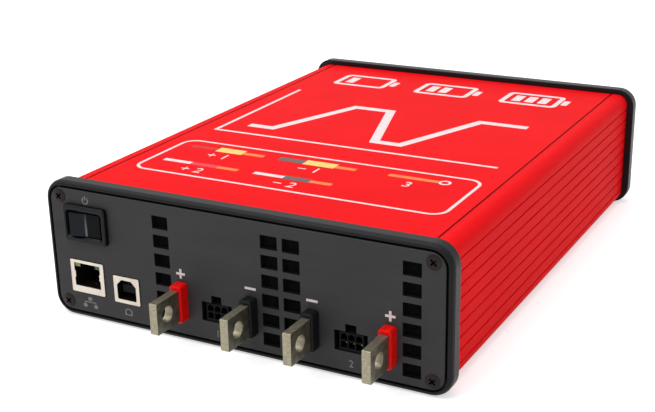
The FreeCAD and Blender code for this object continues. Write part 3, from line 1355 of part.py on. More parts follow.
def power_transistors():
    """Flat packages screwed to the underside of the heat sinks."""
    top = SINK_BASE_BOTTOM
    low = top - TRANSISTOR_THICKNESS
    middle = (top + low) / 2
    leg_width, leg = TRANSISTOR_LEG
    half_width, half_length = TRANSISTOR_WIDTH / 2, TRANSISTOR_LENGTH / 2
    pieces = []
    for x, y in transistor_places():
        case = block(x - half_width, x + half_width, y - half_length, y + half_length, low, top)
        hole = post(TRANSISTOR_HOLE_RADIUS, low - PAST, top + PAST, x, y + TRANSISTOR_HOLE_Y)
        edge = y - half_length
        end = edge - TRANSISTOR_LEG_REACH
        outline = sharp([(edge, middle - leg), (end + leg, middle - leg), (end + leg, BOARD_TOP),
                         (end, BOARD_TOP), (end, middle), (edge, middle)])
        legs = []
        for k in (-1, 0, 1):
            leg_x = x + k * TRANSISTOR_LEG_PITCH
            legs.append(cheek(outline, leg_x - leg_width / 2, leg_x + leg_width / 2))
        pieces.append(fuse([case.cut(hole)] + legs))
    return group(pieces)


def transistor_screws():
    shank, head, height = TRANSISTOR_SCREW
    low = SINK_BASE_BOTTOM - TRANSISTOR_THICKNESS
    screws = []
    for x, y in transistor_places():
        screws.append(fuse([post(head, low - height, low, x, y + TRANSISTOR_HOLE_Y),
                            post(shank, low - height, SINK_BASE_BOTTOM, x,
                                 y + TRANSISTOR_HOLE_Y)]))
    return group(screws)


def inductor_places():
    return [(x, SINK_BACK + INDUCTOR_GAP) for x in channel_centres()]


def inductor_core(x, y):
    low = BOARD_TOP + INDUCTOR_WIRE
    high = low + INDUCTOR_HEIGHT
    return post(INDUCTOR_RADIUS, low, high, x, y).cut(
        post(INDUCTOR_BORE, low - PAST, high + PAST, x, y))


def inductor_winding(x, y):
    """Wound wire drawn as a jacket round the ring core."""
    high = BOARD_TOP + INDUCTOR_HEIGHT + 2 * INDUCTOR_WIRE
    outer = post(INDUCTOR_RADIUS + INDUCTOR_WIRE, BOARD_TOP, high, x, y)
    bore = post(INDUCTOR_BORE - INDUCTOR_WIRE, BOARD_TOP - PAST, high + PAST, x, y)
    return outer.cut([bore, inductor_core(x, y)])


def can(radius, low, height, x, y):
    """Electrolytic capacitor: an upright can with a rounded top edge."""
    body = post(radius, low, low + height, x, y)
    return body.makeFillet(CAN_ROUND, edges_at(body, "z", low + height))


def capacitors():
    """A row of cans in front of each heat sink."""
    cans = []
    for x in channel_centres():
        for k in range(FILTER_COUNT):
            can_x = x + (k - (FILTER_COUNT - 1) / 2) * FILTER_PITCH
            cans.append(can(FILTER_RADIUS, BOARD_TOP, FILTER_HEIGHT, can_x,
                            SINK_FRONT - FILTER_GAP))
    return group(cans)


def relays():
    width, length, height = RELAY_SIZE
    return group([plate(rect(width, length, RELAY_CORNER, x, RELAY_Y), BOARD_TOP,
                        BOARD_TOP + height) for x in channel_centres()])


def chip(x, y, size, height):
    return plate(rect(size, size, CHIP_CORNER, x, y), BOARD_TOP, BOARD_TOP + height)


def chips():
    """Processor, network chip and the channel controllers."""
    pieces = [chip(PROCESSOR_SIDE - BODY_WIDTH / 2, PROCESSOR_Y, *PROCESSOR_SIZE),
              chip(NETWORK_CHIP_SIDE - BODY_WIDTH / 2, NETWORK_CHIP_Y, *NETWORK_CHIP_SIZE)]
    for x in channel_centres():
        pieces.append(chip(x + CONTROLLER_X, CONTROLLER_Y, *CONTROLLER_SIZE))
    return group(pieces)


def supply_corners():
    a = SUPPLY_WIDTH / 2 - SUPPLY_HOLE_INSET
    rows = (SUPPLY_FRONT + SUPPLY_HOLE_INSET, SUPPLY_BACK - SUPPLY_HOLE_INSET)
    return [(SUPPLY_X + side * a, y) for side in (-1, 1) for y in rows]


def supply_board():
    outline = rect(SUPPLY_WIDTH, SUPPLY_BACK - SUPPLY_FRONT, BOARD_CORNER, SUPPLY_X, SUPPLY_MIDDLE)
    holes = [post(SUPPLY_SCREW_RADIUS + SUPPLY_HOLE_FIT, SUPPLY_BOTTOM - PAST, SUPPLY_TOP + PAST,
                  x, y) for x, y in supply_corners()]
    return plate(outline, SUPPLY_BOTTOM, SUPPLY_TOP).cut(holes)


def supply_standoffs():
    bore = SUPPLY_SCREW_RADIUS + SCREW_THREAD_FIT
    return group([post(STANDOFF_RADIUS, BOARD_TOP, SUPPLY_BOTTOM, x, y).cut(
        post(bore, BOARD_TOP + STANDOFF_FLOOR, SUPPLY_BOTTOM + PAST, x, y))
        for x, y in supply_corners()])


def supply_screws():
    return group([fuse([post(SUPPLY_HEAD_RADIUS, SUPPLY_TOP, SUPPLY_TOP + SUPPLY_HEAD_HEIGHT, x, y),
                        post(SUPPLY_SCREW_RADIUS, SUPPLY_BOTTOM - SUPPLY_SCREW_GRIP,
                             SUPPLY_TOP + SUPPLY_HEAD_HEIGHT, x, y)])
                  for x, y in supply_corners()])


def supply_transformer():
    """Ferrite frame with the wound bobbin through its window."""
    x, y, z = SUPPLY_X, SUPPLY_MIDDLE, SUPPLY_TOP
    width, length, height = TRANSFORMER_CORE
    window_length, window_height = TRANSFORMER_WINDOW
    middle = z + height / 2
    core = cheek(rect(length, height, 0, y, middle), x - width / 2, x + width / 2).cut(
        cheek(rect(window_length, window_height, 0, y, middle), x - width, x + width))
    reach, gap = window_length / 2 - TRANSFORMER_COIL_GAP, TRANSFORMER_COIL_GAP
    coil = post(TRANSFORMER_COIL, z, z + height, x, y).common(
        block(x - length, x + length, y - reach, y + reach, middle - window_height / 2 + gap,
              middle + window_height / 2 - gap))
    return group([core, coil])


def supply_capacitors():
    """Two large cans at the mains end and two small ones at the other."""
    radius, height, offset, inset = BULK_CAN
    cans = [can(radius, SUPPLY_TOP, height, SUPPLY_X + side * offset, SUPPLY_FRONT + inset)
            for side in (-1, 1)]
    radius, height, offset, inset = OUTPUT_CAN
    return group(cans + [can(radius, SUPPLY_TOP, height, SUPPLY_X + side * offset,
                             SUPPLY_BACK - inset) for side in (-1, 1)])


def supply_sinks():
    """Two L-shaped aluminium plates along the supply's long edges."""
    low, high = SUPPLY_TOP, SUPPLY_TOP + SPREADER_HEIGHT
    plates = []
    for side in (-1, 1):
        edge = SUPPLY_X + side * (SUPPLY_WIDTH / 2 - SPREADER_INSET)
        thin = edge - side * SPREADER_THICKNESS
        inner = edge - side * SPREADER_FLANGE
        under = high - SPREADER_THICKNESS
        plates.append(slab(sharp([(edge, low), (thin, low), (thin, under), (inner, under),
                                  (inner, high), (edge, high)]),
                           SUPPLY_MIDDLE - SPREADER_LENGTH / 2,
                           SUPPLY_MIDDLE + SPREADER_LENGTH / 2))
    return group(plates)


def build():
    os.makedirs("parts", exist_ok=True)
    save("body_extrusion", body_extrusion())
    save("top_cover", top_cover())
    bezel = front_bezel()
    save("front_bezel", bezel)
    save("rear_bezel", turned_round(bezel))
    save("front_panel", front_panel())
    save("rear_panel", rear_panel())
    screws = corner_screws()
    save("front_panel_screws", screws)
    save("rear_panel_screws", turned_round(screws))

    for name, x in blade_places():
        save(name + "_blade", blade(x))
        save(name + "_bush", bush(x))
    save("blade_clamps", group([blade_clamp(x) for name, x in blade_places()]))
    save("clamp_screws", group([clamp_screw(x) for name, x in blade_places()]))
    for side, x in zip(("left", "right"), channel_centres()):
        save(side + "_header", header(x))
        save(side + "_header_pins", header_pins(x))
        save(side + "_heat_sink", heat_sink(x))

    save("switch_housing", switch_housing())
    save("switch_rocker", switch_rocker())
    save("switch_tabs", switch_tabs())
    save("ethernet_shell", ethernet_shell())
    save("ethernet_insert", ethernet_insert())
    save("ethernet_feet", ethernet_feet())
    save("ethernet_contacts", ethernet_contacts())
    for name, side in (("left", -1), ("right", 1)):
        save("ethernet_" + name + "_light",
             ethernet_light(side, ETHERNET_LIGHT_FACE, ETHERNET_LIGHT_DEPTH))
    save("usb_shell", usb_shell())
    save("usb_insert", usb_insert())
    save("usb_contacts", usb_contacts())

    save("inlet_housing", inlet_housing())
    save("inlet_pins", inlet_pins())
    save("inlet_screws", inlet_screws())
    for side, x in zip(("left", "right"), FAN_X):
        save(side + "_fan_frame", fan_frame(x))
        save(side + "_fan_rotor", fan_rotor(x))
    save("fan_screws", fan_screws())

    save("main_board", main_board())
    save("power_transistors", power_transistors())
    save("transistor_screws", transistor_screws())
    save("inductor_cores", group([inductor_core(x, y) for x, y in inductor_places()]))
    save("inductor_windings", group([inductor_winding(x, y) for x, y in inductor_places()]))
    save("capacitors", capacitors())
    save("relays", relays())
    save("chips", chips())
    save("supply_board", supply_board())
    save("supply_standoffs", supply_standoffs())
    save("supply_screws", supply_screws())
    save("supply_transformer", supply_transformer())
    save("supply_capacitors", supply_capacitors())
    save("supply_sinks", supply_sinks())


build()
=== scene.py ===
# %% [markdown]
# # A two-channel battery cycler
# A battery cycler charges and discharges cells over and over and logs how they age. This one is a red
# extruded aluminium case with a grey front panel, moulded bezels and flat metal terminals.
# The solids come from the CAD model, so this lesson is about finishes, printed marks, camera and light.
# The model is loaded first, because every finish and mark is set on a piece whose place is already known.

# %% Load the CAD model
import math

import bmesh
import bpy
from mathutils import Matrix, Vector


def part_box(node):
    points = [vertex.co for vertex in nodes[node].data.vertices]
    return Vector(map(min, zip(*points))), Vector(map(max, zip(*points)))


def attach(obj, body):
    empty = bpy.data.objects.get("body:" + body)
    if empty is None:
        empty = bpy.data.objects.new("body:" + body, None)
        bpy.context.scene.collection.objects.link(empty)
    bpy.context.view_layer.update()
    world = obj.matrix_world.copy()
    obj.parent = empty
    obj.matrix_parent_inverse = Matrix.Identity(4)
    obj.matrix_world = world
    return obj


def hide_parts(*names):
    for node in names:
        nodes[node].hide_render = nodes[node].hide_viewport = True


MM = 0.001

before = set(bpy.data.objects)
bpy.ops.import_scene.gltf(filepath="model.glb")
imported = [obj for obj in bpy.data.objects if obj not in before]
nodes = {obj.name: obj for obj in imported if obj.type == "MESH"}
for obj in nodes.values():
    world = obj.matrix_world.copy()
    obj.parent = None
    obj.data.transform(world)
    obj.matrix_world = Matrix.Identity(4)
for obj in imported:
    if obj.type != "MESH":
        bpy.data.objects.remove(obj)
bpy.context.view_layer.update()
print("pieces from CAD:", len(nodes))

# %% [markdown]
# ## Colours as numbers
# Paint and plastic colours are easiest to write as sRGB hex values, as a colour chart gives them.
# Blender mixes light in linear values, so one function turns the one into the other, and every
# colour goes through it.


# %% From a hex value to linear light
def linear(chart):
    """The linear colour, with full opacity, of an sRGB hex value."""
    parts = [int(chart[i:i + 2], 16) / 255 for i in (1, 3, 5)]
    return (*[c / 12.92 if c <= 0.04045 else ((c + 0.055) / 1.055) ** 2.4 for c in parts], 1.0)


print("mid grey is", [round(c, 3) for c in linear("#808080")])

# %% [markdown]
# ## Shader nodes in one line
# A finish is a small graph of nodes. Adding one by hand takes a line to make it, one for each setting
# and one for each link. One small function does all three, and the finishes below stay short.


# %% Add a node
def add(tree, kind, inputs=None, **settings):
    """A node of this kind: its settings are set, and each input is linked or given its value."""
    made = tree.nodes.new(kind)
    for name, value in settings.items():
        setattr(made, name, value)
    for name, value in (inputs or {}).items():
        if isinstance(value, bpy.types.NodeSocket):
            tree.links.new(value, made.inputs[name])
        else:
            made.inputs[name].default_value = value
    return made


print("add() takes inputs by name or by number")

# %% [markdown]
# ## What all the finishes share
# Real surfaces vary in two ways: soft blotches some millimetres wide, where coat or handling differs,
# and a fine grain that catches the light. Both are noise here, measured in millimetres on the piece,
# so the scale stays right however far away the camera is. The grain also moves the roughness a little,
# because a bump and its shine always change together. The Bevel node rounds an edge for the light
# only, the way deburring or moulding does, and leaves the shape alone.


# %% Noise measured in millimetres
def grain(tree, size_mm, stretch=(1, 1, 1), detail=2.0):
    """Noise with spots about size_mm wide, drawn out along each axis by stretch."""
    point = add(tree, "ShaderNodeTexCoord").outputs["Object"]
    scale = [1 / (size_mm * MM * along) for along in stretch]
    laid = add(tree, "ShaderNodeMapping", {"Vector": point, "Scale": scale}).outputs["Vector"]
    spots = add(tree, "ShaderNodeTexNoise", {"Vector": laid, "Scale": 1.0, "Detail": detail})
    return spots.outputs["Fac"]


print("noise is set in millimetres")


# %% [markdown]
# ## Where a finish changes
# Many finishes aren't the same all over: a sawn edge is paler than a rolled face. Some masks paint
# light and shade instead: a painted highlight on the switch key, and painted shade in seams, holes and
# pores. A mask says how much of a second colour shows at each point, from 0 to 1. It is worked out
# from the point's place on the piece, in metres, or from the way that the face looks, so it stays on
# the piece when the piece or the camera moves.


# %% Places, distances and masks
ACROSS_BELOW = 0.5
ALONG_ABOVE = 0.7


def place_on_piece(tree):
    """The place of each point of the piece, as three outputs named X, Y and Z."""
    point = add(tree, "ShaderNodeTexCoord").outputs["Object"]
    return add(tree, "ShaderNodeSeparateXYZ", {"Vector": point}).outputs


def distance(tree, value, centre=0.0):
    """How far a value is from a centre, on either side of it."""
    off = add(tree, "ShaderNodeMath", {0: value, 1: centre}, operation="SUBTRACT").outputs["Value"]
    return add(tree, "ShaderNodeMath", {0: off}, operation="ABSOLUTE").outputs["Value"]


def sideways(tree, axis):
    """A mask: 1 on faces that look across the axis, and 0 on faces that look along it."""
    normal = add(tree, "ShaderNodeNewGeometry").outputs["Normal"]
    along = add(tree, "ShaderNodeSeparateXYZ", {"Vector": normal}).outputs[axis]
    return add(tree, "ShaderNodeMapRange", {
        "Value": distance(tree, along), "From Min": ACROSS_BELOW, "From Max": ALONG_ABOVE, "To Min": 1.0,
        "To Max": 0.0}).outputs["Result"]


def overlay(material, mask, chart):
    """Lays a colour over the material's colour so far, where the mask is 1."""
    tree = material.node_tree
    colour = tree.nodes["Principled BSDF"].inputs["Base Color"]
    below = colour.links[0].from_socket
    # A Mix node keeps its colour sockets at numbers 6 and 7, and gives the colour out at number 2.
    mixed = add(tree, "ShaderNodeMix", {0: mask, 6: below, 7: linear(chart)}, data_type="RGBA")
    tree.links.new(mixed.outputs[2], colour)


print("a mask is 1 where a colour is laid on")


# %% A finish with blotches, grain and soft edges
NOISE_LOW = 0.3
NOISE_HIGH = 0.7
ROUGHNESS_SWING = 0.15


def finish(name, light, dark, roughness, metallic=0.0, blotch_mm=9.0, grain_mm=0.5, bump_mm=0.01,
           edge_mm=0.15, stretch=(1, 1, 1), **constants):
    """A material of two close tones. constants are the shader's own sockets, such as IOR=1.5."""
    material = bpy.data.materials.new(name)
    material.use_nodes = True
    tree = material.node_tree
    shader = tree.nodes["Principled BSDF"]
    for socket, value in {"Metallic": metallic, **constants}.items():
        shader.inputs[socket.replace("_", " ")].default_value = value
    noise_limits = {"From Min": NOISE_LOW, "From Max": NOISE_HIGH}
    blotches = add(tree, "ShaderNodeMapRange", {"Value": grain(tree, blotch_mm, stretch), **noise_limits})
    tones = {0: blotches.outputs["Result"], 6: linear(light), 7: linear(dark)}
    colour = add(tree, "ShaderNodeMix", tones, data_type="RGBA").outputs[2]
    tree.links.new(colour, shader.inputs["Base Color"])
    fine = grain(tree, grain_mm, stretch, detail=3.0)
    rough = add(tree, "ShaderNodeMapRange", {
        "Value": fine, "To Min": roughness * (1 - ROUGHNESS_SWING),
        "To Max": roughness * (1 + ROUGHNESS_SWING), **noise_limits})
    tree.links.new(rough.outputs["Result"], shader.inputs["Roughness"])
    soft = add(tree, "ShaderNodeBevel", {"Radius": edge_mm * MM}, samples=4)
    relief = {"Height": fine, "Distance": bump_mm * MM, "Strength": 1.0, "Normal": soft.outputs["Normal"]}
    bump = add(tree, "ShaderNodeBump", relief)
    tree.links.new(bump.outputs["Normal"], shader.inputs["Normal"])
    return material


print("roughness swings by", ROUGHNESS_SWING, "of itself with the grain")


# %% Dress pieces of the CAD model
def dress(material, *names):
    """Gives the material to these pieces of the CAD model."""
    for name in names:
        for place in nodes[name].material_slots:
            place.material = material
    print(material.name, "on", ", ".join(names))


print("pieces to dress:", len(nodes))


# %% [markdown]
# ## The red case
# The body and its sliding cover are aluminium profiles. A profile is pressed through a die and then
# sprayed with a polyester powder that melts in an oven, which gives an even, saturated red with a
# faint orange-peel skin and hardly any gloss. The peel of such a coat is 0.5 to 1 mm wide. Its
# reflections are weak, so the specular level is low, and the red stays red where light grazes it.
# A mask darkens the red along the two seams beside the cover: painted shade, where the seams lie in shadow.

# %% Powder-coated aluminium
TONGUE_REACH = 1.5 * MM
SEAM_SHADE_FULL = 0.2 * MM
SEAM_SHADE_END = 0.8 * MM
SEAM_SHADE_SHARE = 0.8


def coated_profile(name):
    """Red coat, with painted shade along the seams where the cover slides in the body."""
    material = finish(
        name, "#F9161C", "#F2131A", 0.5, blotch_mm=30.0, grain_mm=0.7, bump_mm=0.003, edge_mm=0.25,
        IOR=1.5, Specular_IOR_Level=0.02)
    tree = material.node_tree
    place = place_on_piece(tree)
    cover_low, cover_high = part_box("top_cover")
    seam = cover_high[0] - TONGUE_REACH
    near = add(tree, "ShaderNodeMapRange", {
        "Value": distance(tree, distance(tree, place["X"]), seam), "From Min": SEAM_SHADE_FULL,
        "From Max": SEAM_SHADE_END, "To Min": SEAM_SHADE_SHARE, "To Max": 0.0}).outputs["Result"]
    high = add(tree, "ShaderNodeMapRange", {
        "Value": place["Z"], "From Min": cover_low[2], "From Max": cover_low[2] + MM}).outputs["Result"]
    seam_shade = add(tree, "ShaderNodeMath", {0: near, 1: high}, operation="MULTIPLY").outputs["Value"]
    # Painted shade: a darker red along both seams.
    overlay(material, seam_shade, "#9C0A0E")
    return material


powder_coated_aluminium = coated_profile("powder_coated_aluminium")
dress(powder_coated_aluminium, "body_extrusion", "top_cover")

# %% [markdown]
# ## Bezels and fans
# The frames round the two end panels are moulded in ABS. The steel mould is spark-eroded, so the
# plastic comes out with a fine matt grain about 0.1 mm wide. That is too fine to show here and is
# drawn at 0.35 mm. The fans are moulded in black PBT, which is a little duller and darker.

# %% Moulded ABS and PBT
moulded_abs = finish(
    "moulded_abs", "#1F1F21", "#1C1C1E", 0.34, blotch_mm=14.0, grain_mm=0.35, bump_mm=0.006,
    edge_mm=0.3, IOR=1.53, Specular_IOR_Level=0.1)
dress(moulded_abs, "front_bezel", "rear_bezel")

moulded_pbt = finish(
    "moulded_pbt", "#151517", "#101011", 0.55, blotch_mm=12.0, grain_mm=0.3, bump_mm=0.01, IOR=1.55,
    Specular_IOR_Level=0.3)
dress(moulded_pbt, "left_fan_frame", "left_fan_rotor", "right_fan_frame", "right_fan_rotor")

# %% [markdown]
# ## The end panels
# Both panels are aluminium sheet with a matt grey anodised skin. Anodising follows the rolled sheet
# beneath, so a faint grain runs along the panel. The rolling lines are finer than the picture can
# show and are drawn about 0.3 mm apart.

# %% Anodised aluminium sheet
def sheared_sheet(name):
    """Grey anodised faces, and painted shade on the walls of the holes and on the rims, where hardly any
    light comes.
    """
    material = finish(
        name, "#353536", "#313132", 0.6, blotch_mm=7.0, grain_mm=0.3, bump_mm=0.005, edge_mm=0.08,
        stretch=(5, 1, 1), IOR=1.5, Specular_IOR_Level=0.25)
    # Painted shade: near black on every face that looks across the panel.
    overlay(material, sideways(material.node_tree, "Y"), "#0B0B0C")
    return material


anodised_aluminium = sheared_sheet("anodised_aluminium")
dress(anodised_aluminium, "front_panel", "rear_panel")

# %% [markdown]
# ## Terminal blades
# Each terminal is cut from flat nickel-plated bar. The wide faces are dull and stained from use, and
# the sawn end and edges keep short ragged marks across the cut. The wide faces look left and right
# here, so a mask from the surface normal tells a sawn face from a rolled one.


# %% Sawn nickel-plated bar
SAW_MARK_MM = 0.7
SAW_MARK_STRETCH = (2, 0.8, 0.8)
PITS_START = 0.35
PITS_FULL = 0.65


def sawn_bar(name):
    """Dark, stained wide faces, and paler sawn ones that are pitted and scratched across the cut."""
    material = finish(
        name, "#8A8776", "#66645A", 0.5, metallic=1.0, blotch_mm=3.0, grain_mm=0.5, bump_mm=0.008,
        edge_mm=0.2)
    tree = material.node_tree
    cut = sideways(tree, "X")
    overlay(material, cut, "#A49D88")
    marks = grain(tree, SAW_MARK_MM, SAW_MARK_STRETCH, detail=4.0)
    pits = add(tree, "ShaderNodeMapRange", {"Value": marks, "From Min": PITS_START, "From Max": PITS_FULL})
    pitted = {0: cut, 1: pits.outputs["Result"]}
    overlay(material, add(tree, "ShaderNodeMath", pitted, operation="MULTIPLY").outputs["Value"], "#88826F")
    return material


nickel_plated_bar = sawn_bar("nickel_plated_bar")
BLADES = ["left_positive_blade", "left_negative_blade", "right_negative_blade", "right_positive_blade"]
dress(nickel_plated_bar, *BLADES)

# %% [markdown]
# ## Insulating bushes
# A bush keeps each blade off the metal panel, red for plus and black for minus. They are moulded in
# soft PVC in a polished mould, so they shine and their corners look melted round.

# %% Soft PVC
red_pvc = finish(
    "red_pvc", "#EE0F0B", "#E80D0A", 0.3, blotch_mm=5.0, grain_mm=1.5, bump_mm=0.002, edge_mm=0.5,
    IOR=1.53, Specular_IOR_Level=0.2, Specular_Tint=linear("#FF9090"))
dress(red_pvc, "left_positive_bush", "right_positive_bush")

black_pvc = finish(
    "black_pvc", "#1A1A1C", "#161617", 0.36, blotch_mm=5.0, grain_mm=1.5, bump_mm=0.002, edge_mm=0.5,
    IOR=1.53, Specular_IOR_Level=0.09)
dress(black_pvc, "left_negative_bush", "right_negative_bush")

# %% [markdown]
# ## Black plastics
# The switch is glossy nylon. The sockets, headers and mains inlet are satin glass-filled nylon, whose
# fibres roughen the skin. Chips, relays and transistors are matt black resin. One black would make
# them look like one block, so each has its own roughness and a slightly different tone. The switch's
# key carries painted light: the half that stands out is painted paler, and a painted highlight runs
# along its crest, where the two halves meet.

# %% Gloss nylon
gloss_nylon = finish(
    "gloss_nylon", "#0F1013", "#0C0D0F", 0.22, blotch_mm=6.0, grain_mm=1.2, bump_mm=0.002, edge_mm=0.3,
    IOR=1.53, Specular_IOR_Level=0.15)
dress(gloss_nylon, "switch_housing")


# %% A key with painted light
CREST_SHIFT = 0.4 * MM
CREST_SOFTNESS = 0.6 * MM
HIGHLIGHT_HALF_WIDTH = 0.1 * MM
HIGHLIGHT_START = 4 * MM


def rubbed_key(name):
    """The same nylon, with the half that stands out painted paler and a painted highlight along the crest.
    """
    material = finish(
        name, "#0B0C0E", "#090A0B", 0.22, blotch_mm=6.0, grain_mm=1.2, bump_mm=0.002, edge_mm=0.2,
        IOR=1.53, Specular_IOR_Level=0.05)
    tree = material.node_tree
    place = place_on_piece(tree)
    low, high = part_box("switch_rocker")
    crest = (low[0] + high[0]) / 2 + CREST_SHIFT
    painted_lit_half = add(tree, "ShaderNodeMapRange", {
        "Value": place["X"], "From Min": crest, "From Max": crest + CREST_SOFTNESS, "To Min": 1.0,
        "To Max": 0.0}).outputs["Result"]
    # Painted light: the half that stands out is painted paler.
    overlay(material, painted_lit_half, "#22252A")
    line = add(tree, "ShaderNodeMapRange", {
        "Value": distance(tree, place["X"], crest), "From Min": HIGHLIGHT_HALF_WIDTH,
        "From Max": CREST_SOFTNESS, "To Min": 1.0, "To Max": 0.0}).outputs["Result"]
    highlight_fade = add(tree, "ShaderNodeMapRange", {
        "Value": place["Z"], "From Min": low[2] + HIGHLIGHT_START, "From Max": high[2] - MM, "To Min": 1.0,
        "To Max": 0.1}).outputs["Result"]
    line = add(tree, "ShaderNodeMath", {0: line, 1: highlight_fade}, operation="MULTIPLY").outputs["Value"]
    # Painted highlight: a pale line along the crest, fading towards the top.
    overlay(material, line, "#70767E")
    return material


dress(rubbed_key("nylon_with_painted_highlight"), "switch_rocker")

# %% Filled nylon and resin
glass_filled_nylon = finish(
    "glass_filled_nylon", "#151517", "#111112", 0.45, blotch_mm=3.0, grain_mm=0.3, bump_mm=0.008,
    edge_mm=0.1, IOR=1.53, Specular_IOR_Level=0.06)
dress(glass_filled_nylon, "left_header", "right_header", "ethernet_insert", "ethernet_feet", "usb_insert",
      "inlet_housing")

moulding_resin = finish(
    "moulding_resin", "#1D1E20", "#17181A", 0.55, blotch_mm=2.0, grain_mm=0.3, bump_mm=0.012, IOR=1.55,
    Specular_IOR_Level=0.3)
dress(moulding_resin, "power_transistors", "relays", "chips")

# %% [markdown]
# ## Plated sheet and pins
# Socket shells are drawn from tinned steel sheet: bright, slightly warm, with soft streaks from
# drawing. Tabs and pins are tinned brass, and the signal contacts carry a thin layer of gold, which
# is why they look yellow even in shade.

# %% Tin and gold
tinned_steel = finish(
    "tinned_steel", "#D2C9BD", "#C3B9AD", 0.3, metallic=0.9, blotch_mm=4.0, grain_mm=0.5, bump_mm=0.008,
    edge_mm=0.2, stretch=(1, 1, 4))
dress(tinned_steel, "ethernet_shell", "usb_shell")

tinned_brass = finish(
    "tinned_brass", "#CFCBC0", "#B9B4A6", 0.3, metallic=1.0, blotch_mm=2.0, grain_mm=0.3, bump_mm=0.006,
    edge_mm=0.08)
dress(tinned_brass, "switch_tabs", "left_header_pins", "right_header_pins", "inlet_pins")

gold_plated_bronze = finish(
    "gold_plated_bronze", "#E5B652", "#CF9E3E", 0.25, metallic=1.0, blotch_mm=1.5, grain_mm=0.2,
    bump_mm=0.004, edge_mm=0.04)
dress(gold_plated_bronze, "ethernet_contacts", "usb_contacts")

# %% [markdown]
# ## Light windows
# Two small windows in the network socket carry light from diodes behind. They are cast in tinted
# clear resin, so light goes in a little way before it comes back, which a part transmission gives.

# %% Tinted clear resin
for tint, light, dark in [("yellow", "#9CA838", "#86922C"), ("green", "#22683D", "#1A5231")]:
    side = "left" if tint == "yellow" else "right"
    tinted_resin = finish(
        f"tinted_resin_{tint}", light, dark, 0.18, blotch_mm=1.2, grain_mm=0.5, bump_mm=0.004,
        edge_mm=0.1, IOR=1.5, Transmission_Weight=0.25)
    dress(tinted_resin, f"ethernet_{side}_light")

# %% [markdown]
# ## Screws and clamps
# The panel screws are steel with a black oxide, which is nearly matt and brown-black. The inner
# screws are zinc-plated, with a cold bluish white. The clamps are nickel-plated brass and slightly
# warmer.

# %% Fasteners
black_oxide_steel = finish(
    "black_oxide_steel", "#241A17", "#171110", 0.36, metallic=0.7, blotch_mm=0.9, grain_mm=0.25,
    bump_mm=0.012, edge_mm=0.15)
dress(black_oxide_steel, "front_panel_screws", "rear_panel_screws", "fan_screws")

zinc_plated_steel = finish(
    "zinc_plated_steel", "#AEB3BA", "#979DA6", 0.34, metallic=1.0, blotch_mm=1.0, grain_mm=0.25,
    bump_mm=0.008, edge_mm=0.12)
dress(zinc_plated_steel, "clamp_screws", "transistor_screws", "supply_screws", "inlet_screws")

nickel_plated_brass = finish(
    "nickel_plated_brass", "#CBC4B2", "#B5AE9B", 0.28, metallic=1.0, blotch_mm=2.5, grain_mm=0.3,
    bump_mm=0.008, edge_mm=0.12)
dress(nickel_plated_brass, "blade_clamps", "supply_standoffs")

# %% [markdown]
# ## Flat screw heads
# The panel screws are driven home, so only a shallow head shows over the panel, with the cross sunk
# in it. The CAD model has a taller dome. A copy of each set of screws is pressed down here, so that
# the screws stay in their holes, and the floor of the cross goes down into the shank.

# %% Press the heads down
HEAD_LEFT = 0.3
CROSS_FLOOR = 0.45 * MM
CROSS_SUNK = 1.4 * MM
SAME_HEIGHT = 0.01 * MM


def pressed_screws(source, name, face, outward):
    """A copy of a set of screws with lower heads. outward is the way that the heads look along Y."""
    mesh = nodes[source].data.copy()
    moved = 0
    for vertex in mesh.vertices:
        stand = (vertex.co.y - face) * outward
        if stand <= 0:
            continue
        at_floor = abs(stand - CROSS_FLOOR) < SAME_HEIGHT
        vertex.co.y = face + outward * (-CROSS_SUNK if at_floor else stand * HEAD_LEFT)
        moved += 1
    mesh.name = name
    mesh.materials.clear()
    mesh.materials.append(black_oxide_steel)
    screws = bpy.data.objects.new(name, mesh)
    bpy.context.collection.objects.link(screws)
    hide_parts(source)
    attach(screws, "case")
    print(name, moved, "points moved")


pressed_screws("front_panel_screws", "pressed_front_screws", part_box("front_panel")[0][1], -1)
pressed_screws("rear_panel_screws", "pressed_rear_screws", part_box("rear_panel")[1][1], 1)

# %% [markdown]
# ## Circuit boards
# A board is glass cloth in epoxy under a green solder mask. The copper lies under the mask and shows
# through as a paler green. Power boards have it in broad fields that run square to the edges, so a
# brick pattern of fields 14 by 6 mm, with 0.8 mm between them, stands for them.


# %% Solder-masked glass epoxy
TRACK_LENGTH = 14 * MM
TRACK_PITCH = 6 * MM
TRACK_GAP = 0.8 * MM


def board(name):
    """Green mask over copper tracks."""
    material = finish(
        name, "#0E5C2F", "#0A4A26", 0.32, blotch_mm=20.0, grain_mm=0.4, bump_mm=0.006, edge_mm=0.1,
        IOR=1.5)
    tree = material.node_tree
    sizes = {"Vector": add(tree, "ShaderNodeTexCoord").outputs["Object"], "Scale": 1.0,
             "Brick Width": TRACK_LENGTH, "Row Height": TRACK_PITCH, "Mortar Size": TRACK_GAP / 2}
    gaps = add(tree, "ShaderNodeTexBrick", sizes, offset=0.37, squash_frequency=3, squash=1.6).outputs["Fac"]
    tracks = add(tree, "ShaderNodeMapRange", {"Value": gaps, "To Min": 1.0, "To Max": 0.0})
    overlay(material, tracks.outputs["Result"], "#17753F")
    return material


solder_masked_epoxy = board("solder_masked_epoxy")
dress(solder_masked_epoxy, "main_board", "supply_board")

# %% [markdown]
# ## Heat sinks, cores and cans
# Heat sinks are extruded aluminium left as it came from the die, so faint lines run along the fins.
# Ferrite is a fired ceramic, dark grey and slightly sparkling. The capacitors are aluminium cans in a
# shrunk blue sleeve that leaves the top bare.

# %% Mill-finish aluminium and ferrite
mill_aluminium = finish(
    "mill_aluminium", "#BDBFC2", "#A9ABAF", 0.34, metallic=1.0, blotch_mm=3.0, grain_mm=0.35,
    bump_mm=0.01, edge_mm=0.15, stretch=(1, 12, 1))
dress(mill_aluminium, "left_heat_sink", "right_heat_sink", "supply_sinks")

